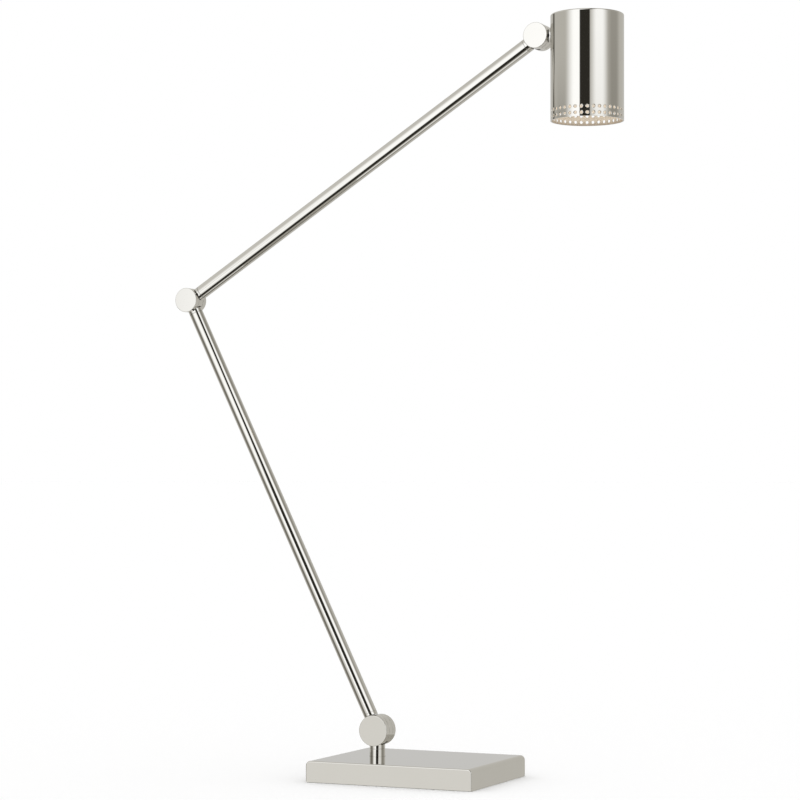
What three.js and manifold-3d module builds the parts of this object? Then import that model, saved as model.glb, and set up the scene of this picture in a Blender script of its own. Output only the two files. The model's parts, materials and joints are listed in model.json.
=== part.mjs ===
// A two-arm desk lamp on a weighted rectangular base, in millimetres, +Z up.
// The origin is the middle of the base's underside. X runs along the base's long side and Y across it.
// The arms fold in the XZ plane about drum-shaped joints, and the stem turns about Z in the base.

import * as THREE from 'three';
import { mergeVertices } from 'three/addons/utils/BufferGeometryUtils.js';
import Module from 'manifold-3d';

const wasm = await Module();
wasm.setup();

// Base
const baseLength = 154.6;
const baseWidth = 119;
const baseHeight = 18.5;
const baseEndRadius = 4.2;         // bend along the two short top edges
const baseFaceBevel = 0.9;         // softened edge round the long front and back faces
const coverWall = 2;
const coverTopWall = 1.5;
const padThickness = 1.8;
const padReveal = 0.4;             // how far the pad stands below the cover's rim
const padInset = 3;
const padCornerRadius = 5;
const plateThickness = 2;
const postInset = 11;              // screw post to the outer face of the cover
const postRadius = 3.6;
const screwRadius = 1.5;
const screwHeadRadius = 3.1;
const screwLength = 9;
const screwSlotWidth = 0.8;
const screwSlotDepth = 0.8;
const stemInset = 39.9;            // stem axis to the base's nearer short end

// Stem and its swivel
const stemRadius = 6.75;
const stemBoreRadius = 4.25;
const stemReveal = 8.8;            // bare stem between the base and the drum above it
const collarRadius = 10.5;
const collarThickness = 1.2;
const thrustWasherThickness = 0.6;
const shelfThickness = 1.8;        // the weight's web that the swivel clamps on
const waveWasherRadius = 9.6;
const waveWasherHeight = 0.7;
const waveWasherThickness = 0.4;
const stopWasherThickness = 0.8;
const stopTabReach = 12.6;
const stopTabWidth = 3;
const stopPinRadius = 1.25;
const stopPinOrbit = 11.4;
const swivelNutThickness = 2.2;
const swivelNutRadius = 10;
const swivelPocketRadius = 14;

// Arms
const armTubeRadius = 6.1;
const armTubeWall = 1.2;
const lowerArmLength = 422.9;      // pivot to pivot
const upperArmLength = 399.1;
const lowerArmLean = -26.15;       // degrees from upright towards +X
const upperArmLean = 57.74;
const stubLean = 90;

// Drum joints
const baseDrumRadius = 13.4;
const armDrumRadius = 10.85;
const drumLength = 18.6;
const drumBevel = 0.5;
const tongueWidth = 7;
const neckRadius = 3;
const rootThickness = 2;           // end fitting of each tube, at its middle
const plugLength = 12;
const stemPlugLength = 8;
const drumRimWall = 2;             // outside the tongue's wire chamber
const chamberWidth = 3.6;
const pivotScrewRadius = 2;
const pivotHeadRadius = 3.4;
const pivotHeadThickness = 2;
const pivotSocketRadius = 1.5;
const pivotSocketDepth = 1.2;
const pivotFaceWall = 1.6;         // drum face left whole in front of the screw
const pivotSeatDepth = 3.2;        // counterbore for the screw head and its washer
const springWasherHeight = 0.7;
const springWasherThickness = 0.35;
const bushWall = 0.75;
const hubWall = 1.3;
const frictionWasherThickness = 0.8;
const frictionWasherRadius = 7.4;

// Travel of each drum joint from the modelled pose, in degrees, which sizes the wire windows
const baseTiltTravel = [-34, 38];
const elbowTravel = [-84, 26];
const headTravel = [-90, 55];

// Wiring
const leadRadius = 1.5;
const leadBend = 5;
const bushFlangeRadius = 4.2;
const bushFlangeThickness = 1;
const bushBodyRadius = 3.1;
const bushTail = 1.6;

// Shade
const shadeRadius = 30.85;
const shadeHeight = 89;
const shadeWall = 1;
const shadeEdgeRadius = 1.2;
const stubReveal = 1.3;            // bare stub between the drum and the shade
const stubBelowTop = 15.2;
const shankRadius = 4.6;
const shankLength = 8.6;           // past the inside of the shade's wall
const holesPerRow = 38;
const holeRadius = 1.25;
const holeChamfer = 0.43;          // round each hole's outer edge
const holeRowHeights = [3, 8.2];   // above the rim
const holeRowTurn = 1.7;           // degrees the rows are turned from even about the stub

// Lamp inside the shade
const stubWasherRadius = 7;
const stubWasherThickness = 0.8;
const stubNutThickness = 3.5;
const stubNutRadius = 7;
const bracketThickness = 1.2;
const bracketWidth = 15;
const bracketTopGap = 2.1;         // room for the screw heads under the shade's top
const bracketReach = 11;           // past the shade's axis
const holderRadius = 13;
const holderHeight = 20;
const holderEdge = 1;              // chamfer
const holderScrewSpacing = 15;
const holderScrewRadius = 1.3;
const holderScrewHeadRadius = 2.4;
const holderScrewHeadHeight = 1.5;
const holderScrewLength = 6;
const bulbLength = 48;
const bulbCapRadius = 9;
const bulbCapHeight = 6;
const bulbRimRadius = 25;
const bulbRimHeight = 5;
const lensRadius = 22.5;
const lensThickness = 2;
const lensEdge = 0.5;
const pinSpacing = 10;
const pinRadius = 1.2;
const pinInBulb = 3;
const pinInHolder = 6;

// Clearances
const slip = 0.15;                 // beside a seated face
const fit = 0.3;                   // round a shaft, tab or screw
const jointGap = 0.5;              // tube end to drum
const running = 0.3;               // tongue to each cheek
const past = 1;                    // a cutter's reach beyond the face it opens

// Facets
const drumSides = 24;
const tubeSides = 18;
const smallSides = 12;
const leadSides = 8;
const leadBendSteps = 5;
const holeSides = 6;
const edgeFacets = 2;              // round the shade's top edge
const flareFacets = 4;             // down the bulb's shell

// Levels and places that follow from the sizes above
const stemX = stemInset - baseLength / 2;
const plateTop = padThickness + plateThickness;
const coverUnderside = baseHeight - coverTopWall;
const leadHeight = plateTop + leadRadius + fit;
const baseJointZ = baseHeight + stemReveal + jointGap + baseDrumRadius;
const armTubeBore = armTubeRadius - armTubeWall;
const cheekFace = tongueWidth / 2 + running;
const pivotHoleRadius = pivotScrewRadius + slip;
const bushRadius = pivotHoleRadius + bushWall;
const hubRadius = bushRadius + slip + hubWall;
const washerInnerRadius = bushRadius + fit;
const leadBoreRadius = leadRadius + fit;
const stubX = armDrumRadius + jointGap + stubReveal;

const finishes = {
  polishedNickel: { color: 0xd9d4cb, roughness: 0.08, metalness: 1 },
  steel: { color: 0x9c9a96, roughness: 0.35, metalness: 1 },
  castIron: { color: 0x3b3b3c, roughness: 0.8, metalness: 0.6 },
  brass: { color: 0xb08d45, roughness: 0.35, metalness: 1 },
  nylon: { color: 0xe8e4d8, roughness: 0.5, metalness: 0 },
  rubber: { color: 0x1c1c1d, roughness: 0.85, metalness: 0 },
  lead: { color: 0x2a2a2b, roughness: 0.6, metalness: 0 },
  ceramic: { color: 0xefece4, roughness: 0.4, metalness: 0 },
  bulbShell: { color: 0xe3e3e1, roughness: 0.45, metalness: 0 },
  lens: { color: 0xfff1d6, roughness: 0.25, metalness: 0 },
};

// ---- Solids from three.js geometry ----

// Merges a closed geometry's vertices, drops empty triangles and turns its faces outwards.
function toSolid(piece) {
  if (piece instanceof wasm.Manifold) {
    return piece;
  }
  const bare = piece.clone();
  bare.deleteAttribute('normal');
  bare.deleteAttribute('uv');
  const merged = mergeVertices(bare, 1e-4);
  const points = merged.attributes.position.array;
  const corner = (index) => new THREE.Vector3().fromArray(points, index * 3);
  const triangles = [];
  let volume = 0;
  for (let i = 0; i < merged.index.count; i += 3) {
    const [a, b, c] = merged.index.array.slice(i, i + 3);
    if (a !== b && b !== c && c !== a) {
      triangles.push([a, b, c]);
      volume += corner(a).dot(corner(b).cross(corner(c)));
    }
  }
  const outward = volume > 0 ? triangles : triangles.map(([a, b, c]) => [a, c, b]);
  return new wasm.Manifold(new wasm.Mesh({
    numProp: 3,
    vertProperties: Float32Array.from(points),
    triVerts: Uint32Array.from(outward.flat()),
  }));
}

const join = (...pieces) => pieces.map(toSolid).reduce((sum, piece) => sum.add(piece));
const cut = (body, ...tools) => tools.map(toSolid).reduce((rest, tool) => rest.subtract(tool), toSolid(body));
const overlapOf = (body, limit) => toSolid(body).intersect(toSolid(limit));

// A profile of [radius, height] points turned about an axis.
function turned(profile, axis = 'z', sides = drumSides) {
  const points = profile.map(([radius, height]) => new THREE.Vector2(radius, height));
  const geometry = new THREE.LatheGeometry(points, sides, Math.PI / 2);
  if (axis === 'z') {
    geometry.rotateX(Math.PI / 2);
  }
  if (axis === 'x') {
    geometry.rotateZ(-Math.PI / 2);
  }
  return geometry;
}

const rod = (radius, low, high, axis = 'z', sides = smallSides) =>
  turned([[0, low], [radius, low], [radius, high], [0, high]], axis, sides);

const ring = (outer, inner, low, high, axis = 'z', sides = smallSides) =>
  turned([[inner, low], [outer, low], [outer, high], [inner, high], [inner, low]], axis, sides);

// A shallow cone of sheet, as a spring washer is.
const dish = (outer, inner, low, height, thickness, axis, sides = smallSides) => {
  const rise = height - thickness;
  return turned([
    [inner, low + rise], [outer, low], [outer, low + thickness],
    [inner, low + height], [inner, low + rise],
  ], axis, sides);
};

// A box between two corners.
function block(from, to) {
  const [x, y, z] = to.map((high, i) => high - from[i]);
  const geometry = new THREE.BoxGeometry(x, y, z);
  return geometry.translate(...to.map((high, i) => (high + from[i]) / 2));
}

const hexagon = (acrossCorners, low, high, axis) => rod(acrossCorners, low, high, axis, 6);

function moved(geometry, x, y, z) {
  return geometry.translate(x, y, z);
}

function mesh(name, solid, finish) {
  const result = toSolid(solid).getMesh();
  const geometry = new THREE.BufferGeometry();
  geometry.setAttribute('position', new THREE.BufferAttribute(result.vertProperties, 3));
  geometry.setIndex(new THREE.BufferAttribute(result.triVerts, 1));
  geometry.computeVertexNormals();
  const part = new THREE.Mesh(geometry, new THREE.MeshStandardMaterial(finish));
  part.name = name;
  return part;
}

function meshAt(x, y, name, solid, finish) {
  const part = mesh(name, solid, finish);
  part.position.set(x, y, 0);
  return part;
}

// A group of meshes at a place, leaning by some degrees from +Z towards +X.
function frameAt(x, z, lean, ...children) {
  const group = new THREE.Group();
  group.position.set(x, 0, z);
  group.rotation.y = THREE.MathUtils.degToRad(lean);
  group.add(...children);
  return group;
}

// ---- Base ----

// The base's end view: square at the bottom, bent round at the two top corners.
function baseOutline(halfLength, bottom, top, radius) {
  const shape = new THREE.Shape();
  shape.moveTo(-halfLength, bottom);
  shape.lineTo(halfLength, bottom);
  shape.lineTo(halfLength, top - radius);
  shape.absarc(halfLength - radius, top - radius, radius, 0, Math.PI / 2, false);
  shape.absarc(radius - halfLength, top - radius, radius, Math.PI / 2, Math.PI, false);
  shape.closePath();
  return shape;
}

// Extrudes an XZ outline across Y, centred, with an optional rounded edge on both faces.
function acrossBase(shape, width, bevel = 0) {
  const geometry = new THREE.ExtrudeGeometry(shape, {
    depth: width - 2 * bevel,
    curveSegments: 4,
    bevelEnabled: bevel > 0,
    bevelThickness: bevel,
    bevelSize: bevel,
    bevelSegments: 2,
  });
  geometry.rotateX(Math.PI / 2);
  return geometry.translate(0, width / 2 - bevel, 0);
}

const postPlaces = [-1, 1].flatMap((sideX) => [-1, 1].map((sideY) => [
  sideX * (baseLength / 2 - postInset),
  sideY * (baseWidth / 2 - postInset),
]));

function baseCover() {
  const skirt = 2 * baseFaceBevel;
  const outer = acrossBase(
    baseOutline(
      baseLength / 2 - baseFaceBevel, padReveal - skirt, baseHeight - baseFaceBevel,
      baseEndRadius - baseFaceBevel,
    ),
    baseWidth,
    baseFaceBevel,
  );
  const inner = acrossBase(
    baseOutline(baseLength / 2 - coverWall, -baseHeight, coverUnderside, baseEndRadius - coverWall),
    baseWidth - 2 * coverWall,
  );
  const below = block([-baseLength, -baseWidth, -baseHeight], [baseLength, baseWidth, padReveal]);
  const posts = postPlaces.map(([x, y]) =>
    moved(rod(postRadius, plateTop + slip, coverUnderside + coverTopWall / 2), x, y, 0));
  const pilots = postPlaces.map(([x, y]) =>
    moved(rod(screwRadius + fit, plateTop, padThickness + screwLength + fit), x, y, 0));
  const stemHole = moved(
    rod(stemRadius + fit, coverUnderside - past, baseHeight + past, 'z', tubeSides), stemX, 0, 0,
  );
  const leadHole = moved(
    rod(bushBodyRadius + fit, baseWidth / 2 - coverWall - past, baseWidth / 2 + past, 'y'),
    stemX, 0, leadHeight,
  );
  const shell = join(cut(outer, below, inner), ...posts);
  return cut(shell, ...pilots, stemHole, leadHole);
}

// Levels of the swivel's stack, from the cover down.
const collarTop = coverUnderside - slip;
const thrustTop = collarTop - collarThickness - slip;
const shelfTop = thrustTop - thrustWasherThickness - slip;
const shelfBottom = shelfTop - shelfThickness;
const waveTop = shelfBottom - slip;
const stopTop = waveTop - waveWasherHeight - slip;
const swivelNutTop = stopTop - stopWasherThickness - slip;
const stemFoot = swivelNutTop - swivelNutThickness - slip;
const stopPinTop = shelfTop - shelfThickness / 2;

function baseWeight() {
  const room = 2 * fit;
  const body = acrossBase(
    baseOutline(
      baseLength / 2 - coverWall - room, plateTop + slip, coverUnderside - slip, baseEndRadius - coverWall,
    ),
    baseWidth - 2 * (coverWall + room),
  );
  const postHoles = postPlaces.map(([x, y]) => moved(rod(postRadius + room, 0, baseHeight), x, y, 0));
  const collarPocket = moved(rod(collarRadius + fit, shelfTop, baseHeight, 'z', tubeSides), stemX, 0, 0);
  const nutPocket = moved(rod(swivelPocketRadius, 0, shelfBottom, 'z', tubeSides), stemX, 0, 0);
  const stemHole = moved(rod(stemRadius + fit, 0, baseHeight, 'z', tubeSides), stemX, 0, 0);
  const pinHole = moved(rod(stopPinRadius + slip, 0, stopPinTop + slip), stemX + stopPinOrbit, 0, 0);
  const channel = block(
    [stemX - leadBoreRadius, 0, 0],
    [stemX + leadBoreRadius, baseWidth, leadHeight + leadBoreRadius],
  );
  const bushRoom = moved(
    rod(bushBodyRadius + fit, baseWidth / 2 - coverWall - bushTail - fit, baseWidth / 2, 'y'),
    stemX, 0, leadHeight,
  );
  return cut(body, ...postHoles, collarPocket, nutPocket, stemHole, pinHole, channel, bushRoom);
}

function bottomPlate() {
  const x = baseLength / 2 - coverWall - fit;
  const y = baseWidth / 2 - coverWall - fit;
  const notch = block(
    [stemX - bushBodyRadius - fit, y - bushTail, padThickness - past],
    [stemX + bushBodyRadius + fit, y + past, plateTop + past],
  );
  const wide = screwHeadRadius + fit;
  const narrow = screwRadius + fit;
  const sinks = postPlaces.map(([px, py]) => moved(turned([
    [0, padThickness - past], [wide, padThickness - past], [wide, padThickness],
    [narrow, padThickness + wide - narrow], [narrow, plateTop + past], [0, plateTop + past],
  ], 'z', smallSides), px, py, 0));
  return cut(block([-x, -y, padThickness + slip], [x, y, plateTop]), notch, ...sinks);
}

function basePad() {
  const x = baseLength / 2 - padInset;
  const y = baseWidth / 2 - padInset;
  const shape = new THREE.Shape();
  shape.absarc(x - padCornerRadius, y - padCornerRadius, padCornerRadius, 0, Math.PI / 2, false);
  shape.absarc(padCornerRadius - x, y - padCornerRadius, padCornerRadius, Math.PI / 2, Math.PI, false);
  shape.absarc(padCornerRadius - x, padCornerRadius - y, padCornerRadius, Math.PI, Math.PI * 1.5, false);
  shape.absarc(x - padCornerRadius, padCornerRadius - y, padCornerRadius, Math.PI * 1.5, Math.PI * 2, false);
  return new THREE.ExtrudeGeometry(shape, { depth: padThickness, curveSegments: 3, bevelEnabled: false });
}

// A countersunk screw driven upwards, with a slot in its head.
function baseScrew() {
  const foot = padThickness + slip;
  const body = turned([
    [0, foot], [screwHeadRadius, foot], [screwRadius, foot + screwHeadRadius - screwRadius],
    [screwRadius, foot + screwLength], [0, foot + screwLength],
  ], 'z', smallSides);
  const slot = block(
    [-screwHeadRadius - past, -screwSlotWidth / 2, foot - past],
    [screwHeadRadius + past, screwSlotWidth / 2, foot + screwSlotDepth],
  );
  return cut(body, slot);
}

// The rubber bush in the cover's back wall that the supply lead would enter through.
function cableBush() {
  const back = baseWidth / 2;
  const profile = [
    [leadBoreRadius, back - coverWall - bushTail], [bushBodyRadius, back - coverWall - bushTail],
    [bushBodyRadius, back + slip], [bushFlangeRadius, back + slip],
    [bushFlangeRadius, back + slip + bushFlangeThickness / 2],
    [bushFlangeRadius - bushFlangeThickness / 2, back + slip + bushFlangeThickness],
    [leadBoreRadius, back + slip + bushFlangeThickness], [leadBoreRadius, back - coverWall - bushTail],
  ];
  return moved(turned(profile, 'y', smallSides), stemX, 0, leadHeight);
}

// From the bush along the weight's channel, then up inside the stem.
function baseLead() {
  const section = new THREE.Shape();
  section.absarc(0, 0, leadRadius, 0, Math.PI * 2, false);
  const bend = new THREE.ExtrudeGeometry(section, {
    extrudePath: new THREE.QuadraticBezierCurve3(
      new THREE.Vector3(0, leadBend, leadHeight),
      new THREE.Vector3(0, 0, leadHeight),
      new THREE.Vector3(0, 0, leadHeight + leadBend),
    ),
    steps: leadBendSteps,
    curveSegments: leadSides / 2,
  });
  const run = moved(rod(leadRadius, leadBend - slip, baseWidth / 2, 'y', leadSides), 0, 0, leadHeight);
  const rise = rod(leadRadius, leadHeight + leadBend - slip, stemLeadFoot - fit, 'z', leadSides);
  return join(bend, run, rise);
}

// ---- Stem and swivel, in a frame whose Z axis is the stem's ----

const stemRootZ = baseJointZ - baseDrumRadius - jointGap - rootThickness;
const stemLeadFoot = stemRootZ - stemPlugLength - fit;

const stem = () => ring(stemRadius, stemBoreRadius, stemFoot, stemRootZ - slip, 'z', tubeSides);

function stopWasher() {
  const low = stopTop - stopWasherThickness;
  const disc = ring(stemRadius + stopTabWidth / 2, stemRadius + slip, low, stopTop, 'z', tubeSides);
  const tab = block(
    [-stopTabReach, -stopTabWidth / 2, low],
    [-stemRadius - slip * 2, stopTabWidth / 2, stopTop],
  );
  return join(disc, tab);
}

const thrustWasher = () => ring(
  collarRadius, stemRadius + fit, thrustTop - thrustWasherThickness, thrustTop, 'z', tubeSides,
);

const stemCollar = () => ring(
  collarRadius, stemRadius + slip, collarTop - collarThickness, collarTop, 'z', tubeSides,
);

const waveWasher = () => dish(
  waveWasherRadius, stemRadius + fit, waveTop - waveWasherHeight, waveWasherHeight, waveWasherThickness,
  'z', tubeSides,
);

const stemLead = () => rod(leadRadius, stemLeadFoot, baseJointZ - baseDrumRadius - jointGap, 'z', leadSides);

const swivelNut = () => cut(
  hexagon(swivelNutRadius, swivelNutTop - swivelNutThickness, swivelNutTop, 'z'),
  rod(stemRadius + slip, 0, baseHeight, 'z', tubeSides),
);

// ---- Drum joints, in a frame with the pivot along Y and the piece's own tube towards +Z ----

// A tube's full round, hollowed to follow the drum at a narrow gap over part or all of its width.
const copedRound = (drumRadius, tubeRadius, length, halfWidth) => cut(
  rod(tubeRadius, 0, drumRadius + jointGap + length, 'z', tubeSides),
  rod(drumRadius + jointGap, -halfWidth, halfWidth, 'y', drumSides),
);

// Hollowed between the cheeks only, so that they stand on it.
const cheekRoot = (drumRadius, tubeRadius) => copedRound(drumRadius, tubeRadius, rootThickness, cheekFace);

// Hollowed right across, so that it turns about the cheeks.
const turningRoot = (drumRadius, length) => copedRound(
  drumRadius, armTubeRadius, length, armTubeRadius + past,
);

// The coped end and plug that join an arm's tube to a tongue.
function armTubeRoot(drumRadius) {
  const foot = drumRadius + jointGap;
  return join(
    turningRoot(drumRadius, rootThickness),
    rod(armTubeBore - slip, foot, foot + rootThickness + plugLength, 'z', tubeSides),
  );
}

// Two plain-faced cheeks on one tube end. The pivot screw enters from the back and leaves the front whole.
function clevis(drumRadius, tubeRadius, boreRadius, plug) {
  const half = drumLength / 2;
  const cheek = (side) => turned([
    [0, side * cheekFace], [drumRadius, side * cheekFace], [drumRadius, side * (half - drumBevel)],
    [drumRadius - drumBevel, side * half], [0, side * half],
  ], 'y');
  const foot = drumRadius + jointGap;
  const top = foot + rootThickness + plug;
  const plugRod = rod(boreRadius - slip, foot + rootThickness / 2, top, 'z', tubeSides);
  const leadBore = rod(leadBoreRadius, drumRadius, top + past);
  const screwHole = rod(pivotHoleRadius, pivotFaceWall - half, half + past, 'y');
  const headSeat = rod(pivotHeadRadius + fit, half - pivotSeatDepth, half + past, 'y', tubeSides);
  const body = join(plugRod, cheekRoot(drumRadius, tubeRadius), cheek(-1), cheek(1));
  return cut(body, leadBore, screwHole, headSeat);
}

// A wedge of the tongue's rim, opened so that the wires stay free over the joint's travel.
function rimWindow(drumRadius, fromDegrees, toDegrees) {
  const reach = drumRadius + past;
  const margin = THREE.MathUtils.radToDeg(Math.asin(leadBoreRadius / drumRadius));
  const from = THREE.MathUtils.degToRad(fromDegrees - margin);
  const to = THREE.MathUtils.degToRad(toDegrees + margin);
  const inner = drumRadius - 2 * drumRimWall;
  const shape = new THREE.Shape();
  shape.absarc(0, 0, reach, from, to, false);
  shape.absarc(0, 0, inner, to, from, true);
  shape.closePath();
  const geometry = new THREE.ExtrudeGeometry(shape, {
    depth: chamberWidth, curveSegments: 10, bevelEnabled: false,
  });
  geometry.rotateX(Math.PI / 2);
  return geometry.translate(0, chamberWidth / 2, 0);
}

// The middle slice of a drum, joined by a neck to its root fitting. The window spans the other tube's
// directions in this frame, in degrees from +X towards +Z.
function tongue(drumRadius, root, rootLength, window) {
  const half = tongueWidth / 2;
  const recess = frictionWasherThickness + slip - running;
  const disc = rod(drumRadius, -half, half, 'y', drumSides);
  const neck = rod(neckRadius, drumRadius - drumRimWall / 2, drumRadius + jointGap + rootThickness / 2);
  const chamber = ring(
    drumRadius - drumRimWall, hubRadius, -chamberWidth / 2, chamberWidth / 2, 'y', tubeSides,
  );
  const leadBore = rod(leadBoreRadius, hubRadius + past, drumRadius + rootLength + past);
  const bushHole = rod(bushRadius + slip, -drumLength, drumLength, 'y');
  const recesses = [[-half - past, recess - half], [half - recess, half + past]].map(([low, high]) =>
    rod(frictionWasherRadius + fit, low, high, 'y', tubeSides));
  return cut(
    join(disc, neck, root),
    chamber, leadBore, bushHole, ...recesses, rimWindow(drumRadius, ...window),
  );
}

// Socket-head pivot screw, driven from the back (+Y) face.
function pivotScrew() {
  const seat = drumLength / 2 - pivotSeatDepth + slip + springWasherHeight + slip;
  const tip = pivotFaceWall - drumLength / 2 + fit;
  const body = turned([
    [0, tip], [pivotScrewRadius, tip], [pivotScrewRadius, seat], [pivotHeadRadius, seat],
    [pivotHeadRadius, seat + pivotHeadThickness], [0, seat + pivotHeadThickness],
  ], 'y', smallSides);
  const socket = hexagon(
    pivotSocketRadius, seat + pivotHeadThickness - pivotSocketDepth, seat + pivotHeadThickness + past, 'y',
  );
  return cut(body, socket);
}

const springWasher = () => dish(
  pivotHeadRadius, pivotHoleRadius + slip, drumLength / 2 - pivotSeatDepth + slip,
  springWasherHeight, springWasherThickness, 'y',
);

const pivotBush = () => ring(bushRadius, pivotHoleRadius, -tongueWidth / 2, tongueWidth / 2, 'y');

function frictionWasher(side) {
  const outer = cheekFace - slip / 2;
  const inner = outer - frictionWasherThickness;
  return side > 0
    ? ring(frictionWasherRadius, washerInnerRadius, inner, outer, 'y', tubeSides)
    : ring(frictionWasherRadius, washerInnerRadius, -outer, -inner, 'y', tubeSides);
}

const stemClevis = () => clevis(baseDrumRadius, stemRadius, stemBoreRadius, stemPlugLength);

const armClevis = () => clevis(armDrumRadius, armTubeRadius, armTubeBore, plugLength);

// The pivot screw and its washer, which stay with the clevis but aren't turned with its tube.
const pivotPieces = (joint) => [
  mesh(`${joint}_pivot_screw`, pivotScrew(), finishes.steel),
  mesh(`${joint}_spring_washer`, springWasher(), finishes.steel),
];

// The pieces that ride on a joint's tongue.
const tongueSide = (joint, solid) => [
  mesh(`${joint}_tongue`, solid, finishes.polishedNickel),
  mesh(`${joint}_pivot_bush`, pivotBush(), finishes.brass),
  mesh(`${joint}_friction_washer_front`, frictionWasher(-1), finishes.nylon),
  mesh(`${joint}_friction_washer_back`, frictionWasher(1), finishes.nylon),
];

// ---- Arms, in a frame with the arm along +Z from its lower pivot ----

function armPieces(name, length, lowRadius, highRadius) {
  const low = lowRadius + jointGap + rootThickness + slip;
  const high = length - highRadius - jointGap - rootThickness - slip;
  const tube = ring(armTubeRadius, armTubeBore, low, high, 'z', tubeSides);
  const lead = rod(leadRadius, hubRadius + fit, length - highRadius - jointGap, 'z', leadSides);
  return [
    mesh(`${name}_tube`, tube, finishes.polishedNickel),
    mesh(`${name}_lead`, lead, finishes.lead),
  ];
}

// ---- Head, in a frame at the head pivot with the stub towards +X ----

const shadeX = stubX + shadeRadius;
const shadeTopZ = stubBelowTop;
const shadeRimZ = shadeTopZ - shadeHeight;
const shadeInside = shadeRadius - shadeWall;
const shadeCeiling = shadeTopZ - shadeWall;

// The short stub, cut to sit against the round shade, with the threaded shank that passes its wall.
// It stands along +Z here, as every tongue does, with the shade's axis along X.
function stub() {
  const round = turningRoot(armDrumRadius, stubReveal + shadeWall);
  const wall = rod(shadeRadius + slip, -armTubeRadius - past, armTubeRadius + past, 'x', 4 * drumSides);
  const shank = rod(shankRadius, armDrumRadius + jointGap, stubX + shadeWall + shankLength, 'z', tubeSides);
  return join(cut(round, moved(wall, 0, 0, shadeX)), shank);
}

function shade() {
  const edge = Array.from({ length: edgeFacets + 1 }, (_, step) => {
    const angle = (step / edgeFacets) * (Math.PI / 2);
    return [
      shadeRadius - shadeEdgeRadius * (1 - Math.cos(angle)),
      shadeTopZ - shadeEdgeRadius * (1 - Math.sin(angle)),
    ];
  });
  const body = turned([
    [shadeInside, shadeRimZ], [shadeRadius, shadeRimZ], ...edge, [0, shadeTopZ],
    [0, shadeCeiling], [shadeInside, shadeCeiling], [shadeInside, shadeRimZ],
  ], 'z', holesPerRow);
  const flat = shadeRadius * Math.cos(Math.PI / holesPerRow);
  const holes = holeRowHeights.flatMap((height) => Array.from({ length: holesPerRow }, (_, i) => {
    const drill = turned([
      [0, shadeInside - past], [holeRadius, shadeInside - past], [holeRadius, flat - holeChamfer],
      [holeRadius + holeChamfer + past, flat + past], [0, flat + past],
    ], 'x', holeSides);
    drill.rotateZ(((i + 0.5) * 2 * Math.PI) / holesPerRow);
    return drill.translate(0, 0, shadeRimZ + height);
  }));
  const shankHole = rod(shankRadius + fit, -shadeRadius - past, past - shadeInside, 'x');
  return cut(cut(body, ...holes).rotate([0, 0, holeRowTurn]), shankHole);
}

// Along the stub, measured from the shade's axis.
const washerFace = -Math.sqrt(shadeInside ** 2 - stubWasherRadius ** 2) + fit;
const bracketFace = washerFace + stubWasherThickness + slip;
const stubNutFace = bracketFace + bracketThickness + slip;
const bracketTop = shadeCeiling - bracketTopGap;
const holderTop = bracketTop - bracketThickness - slip;
const bulbTop = holderTop - holderHeight - slip;
const bulbFace = bulbTop - bulbLength;

const stubWasher = () => ring(
  stubWasherRadius, shankRadius + fit, washerFace, washerFace + stubWasherThickness, 'x', tubeSides,
);

const stubNut = () => cut(
  hexagon(stubNutRadius, stubNutFace, stubNutFace + stubNutThickness, 'x'),
  rod(shankRadius + slip, stubNutFace - past, stubNutFace + stubNutThickness + past, 'x'),
);

function lampBracket() {
  const leg = block(
    [bracketFace, -bracketWidth / 2, -stubWasherRadius],
    [bracketFace + bracketThickness, bracketWidth / 2, bracketTop],
  );
  const shelf = block(
    [bracketFace, -bracketWidth / 2, bracketTop - bracketThickness],
    [bracketReach, bracketWidth / 2, bracketTop],
  );
  const shankHole = rod(shankRadius + fit, bracketFace - past, bracketFace + bracketThickness + past, 'x');
  const screwHoles = [-1, 1].map((side) => moved(
    rod(holderScrewRadius + fit, bracketTop - bracketThickness - past, bracketTop + past),
    side * holderScrewSpacing / 2, 0, 0,
  ));
  return cut(join(leg, shelf), shankHole, ...screwHoles);
}

function lampHolder() {
  const foot = holderTop - holderHeight;
  const body = turned([
    [0, foot], [holderRadius - holderEdge, foot], [holderRadius, foot + holderEdge],
    [holderRadius, holderTop - holderEdge], [holderRadius - holderEdge, holderTop], [0, holderTop],
  ], 'z', tubeSides);
  const screwHoles = [-1, 1].map((side) => moved(
    rod(holderScrewRadius + slip, holderTop - holderScrewLength - fit, holderTop + past),
    side * holderScrewSpacing / 2, 0, 0,
  ));
  const pinHoles = [-1, 1].map((side) => moved(
    rod(pinRadius + fit, foot - past, foot + pinInHolder + fit),
    0, side * pinSpacing / 2, 0,
  ));
  const leadHole = rod(leadBoreRadius, -holderRadius - past, -holderRadius / 2, 'x');
  return cut(body, ...screwHoles, ...pinHoles, leadHole);
}

function holderScrew(side) {
  const head = bracketTop + slip;
  const tip = holderTop - holderScrewLength;
  return moved(turned([
    [0, tip], [holderScrewRadius, tip], [holderScrewRadius, head], [holderScrewHeadRadius, head],
    [holderScrewHeadRadius, head + holderScrewHeadHeight / 2],
    [holderScrewHeadRadius / 2, head + holderScrewHeadHeight], [0, head + holderScrewHeadHeight],
  ], 'z', smallSides), side * holderScrewSpacing / 2, 0, 0);
}

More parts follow.
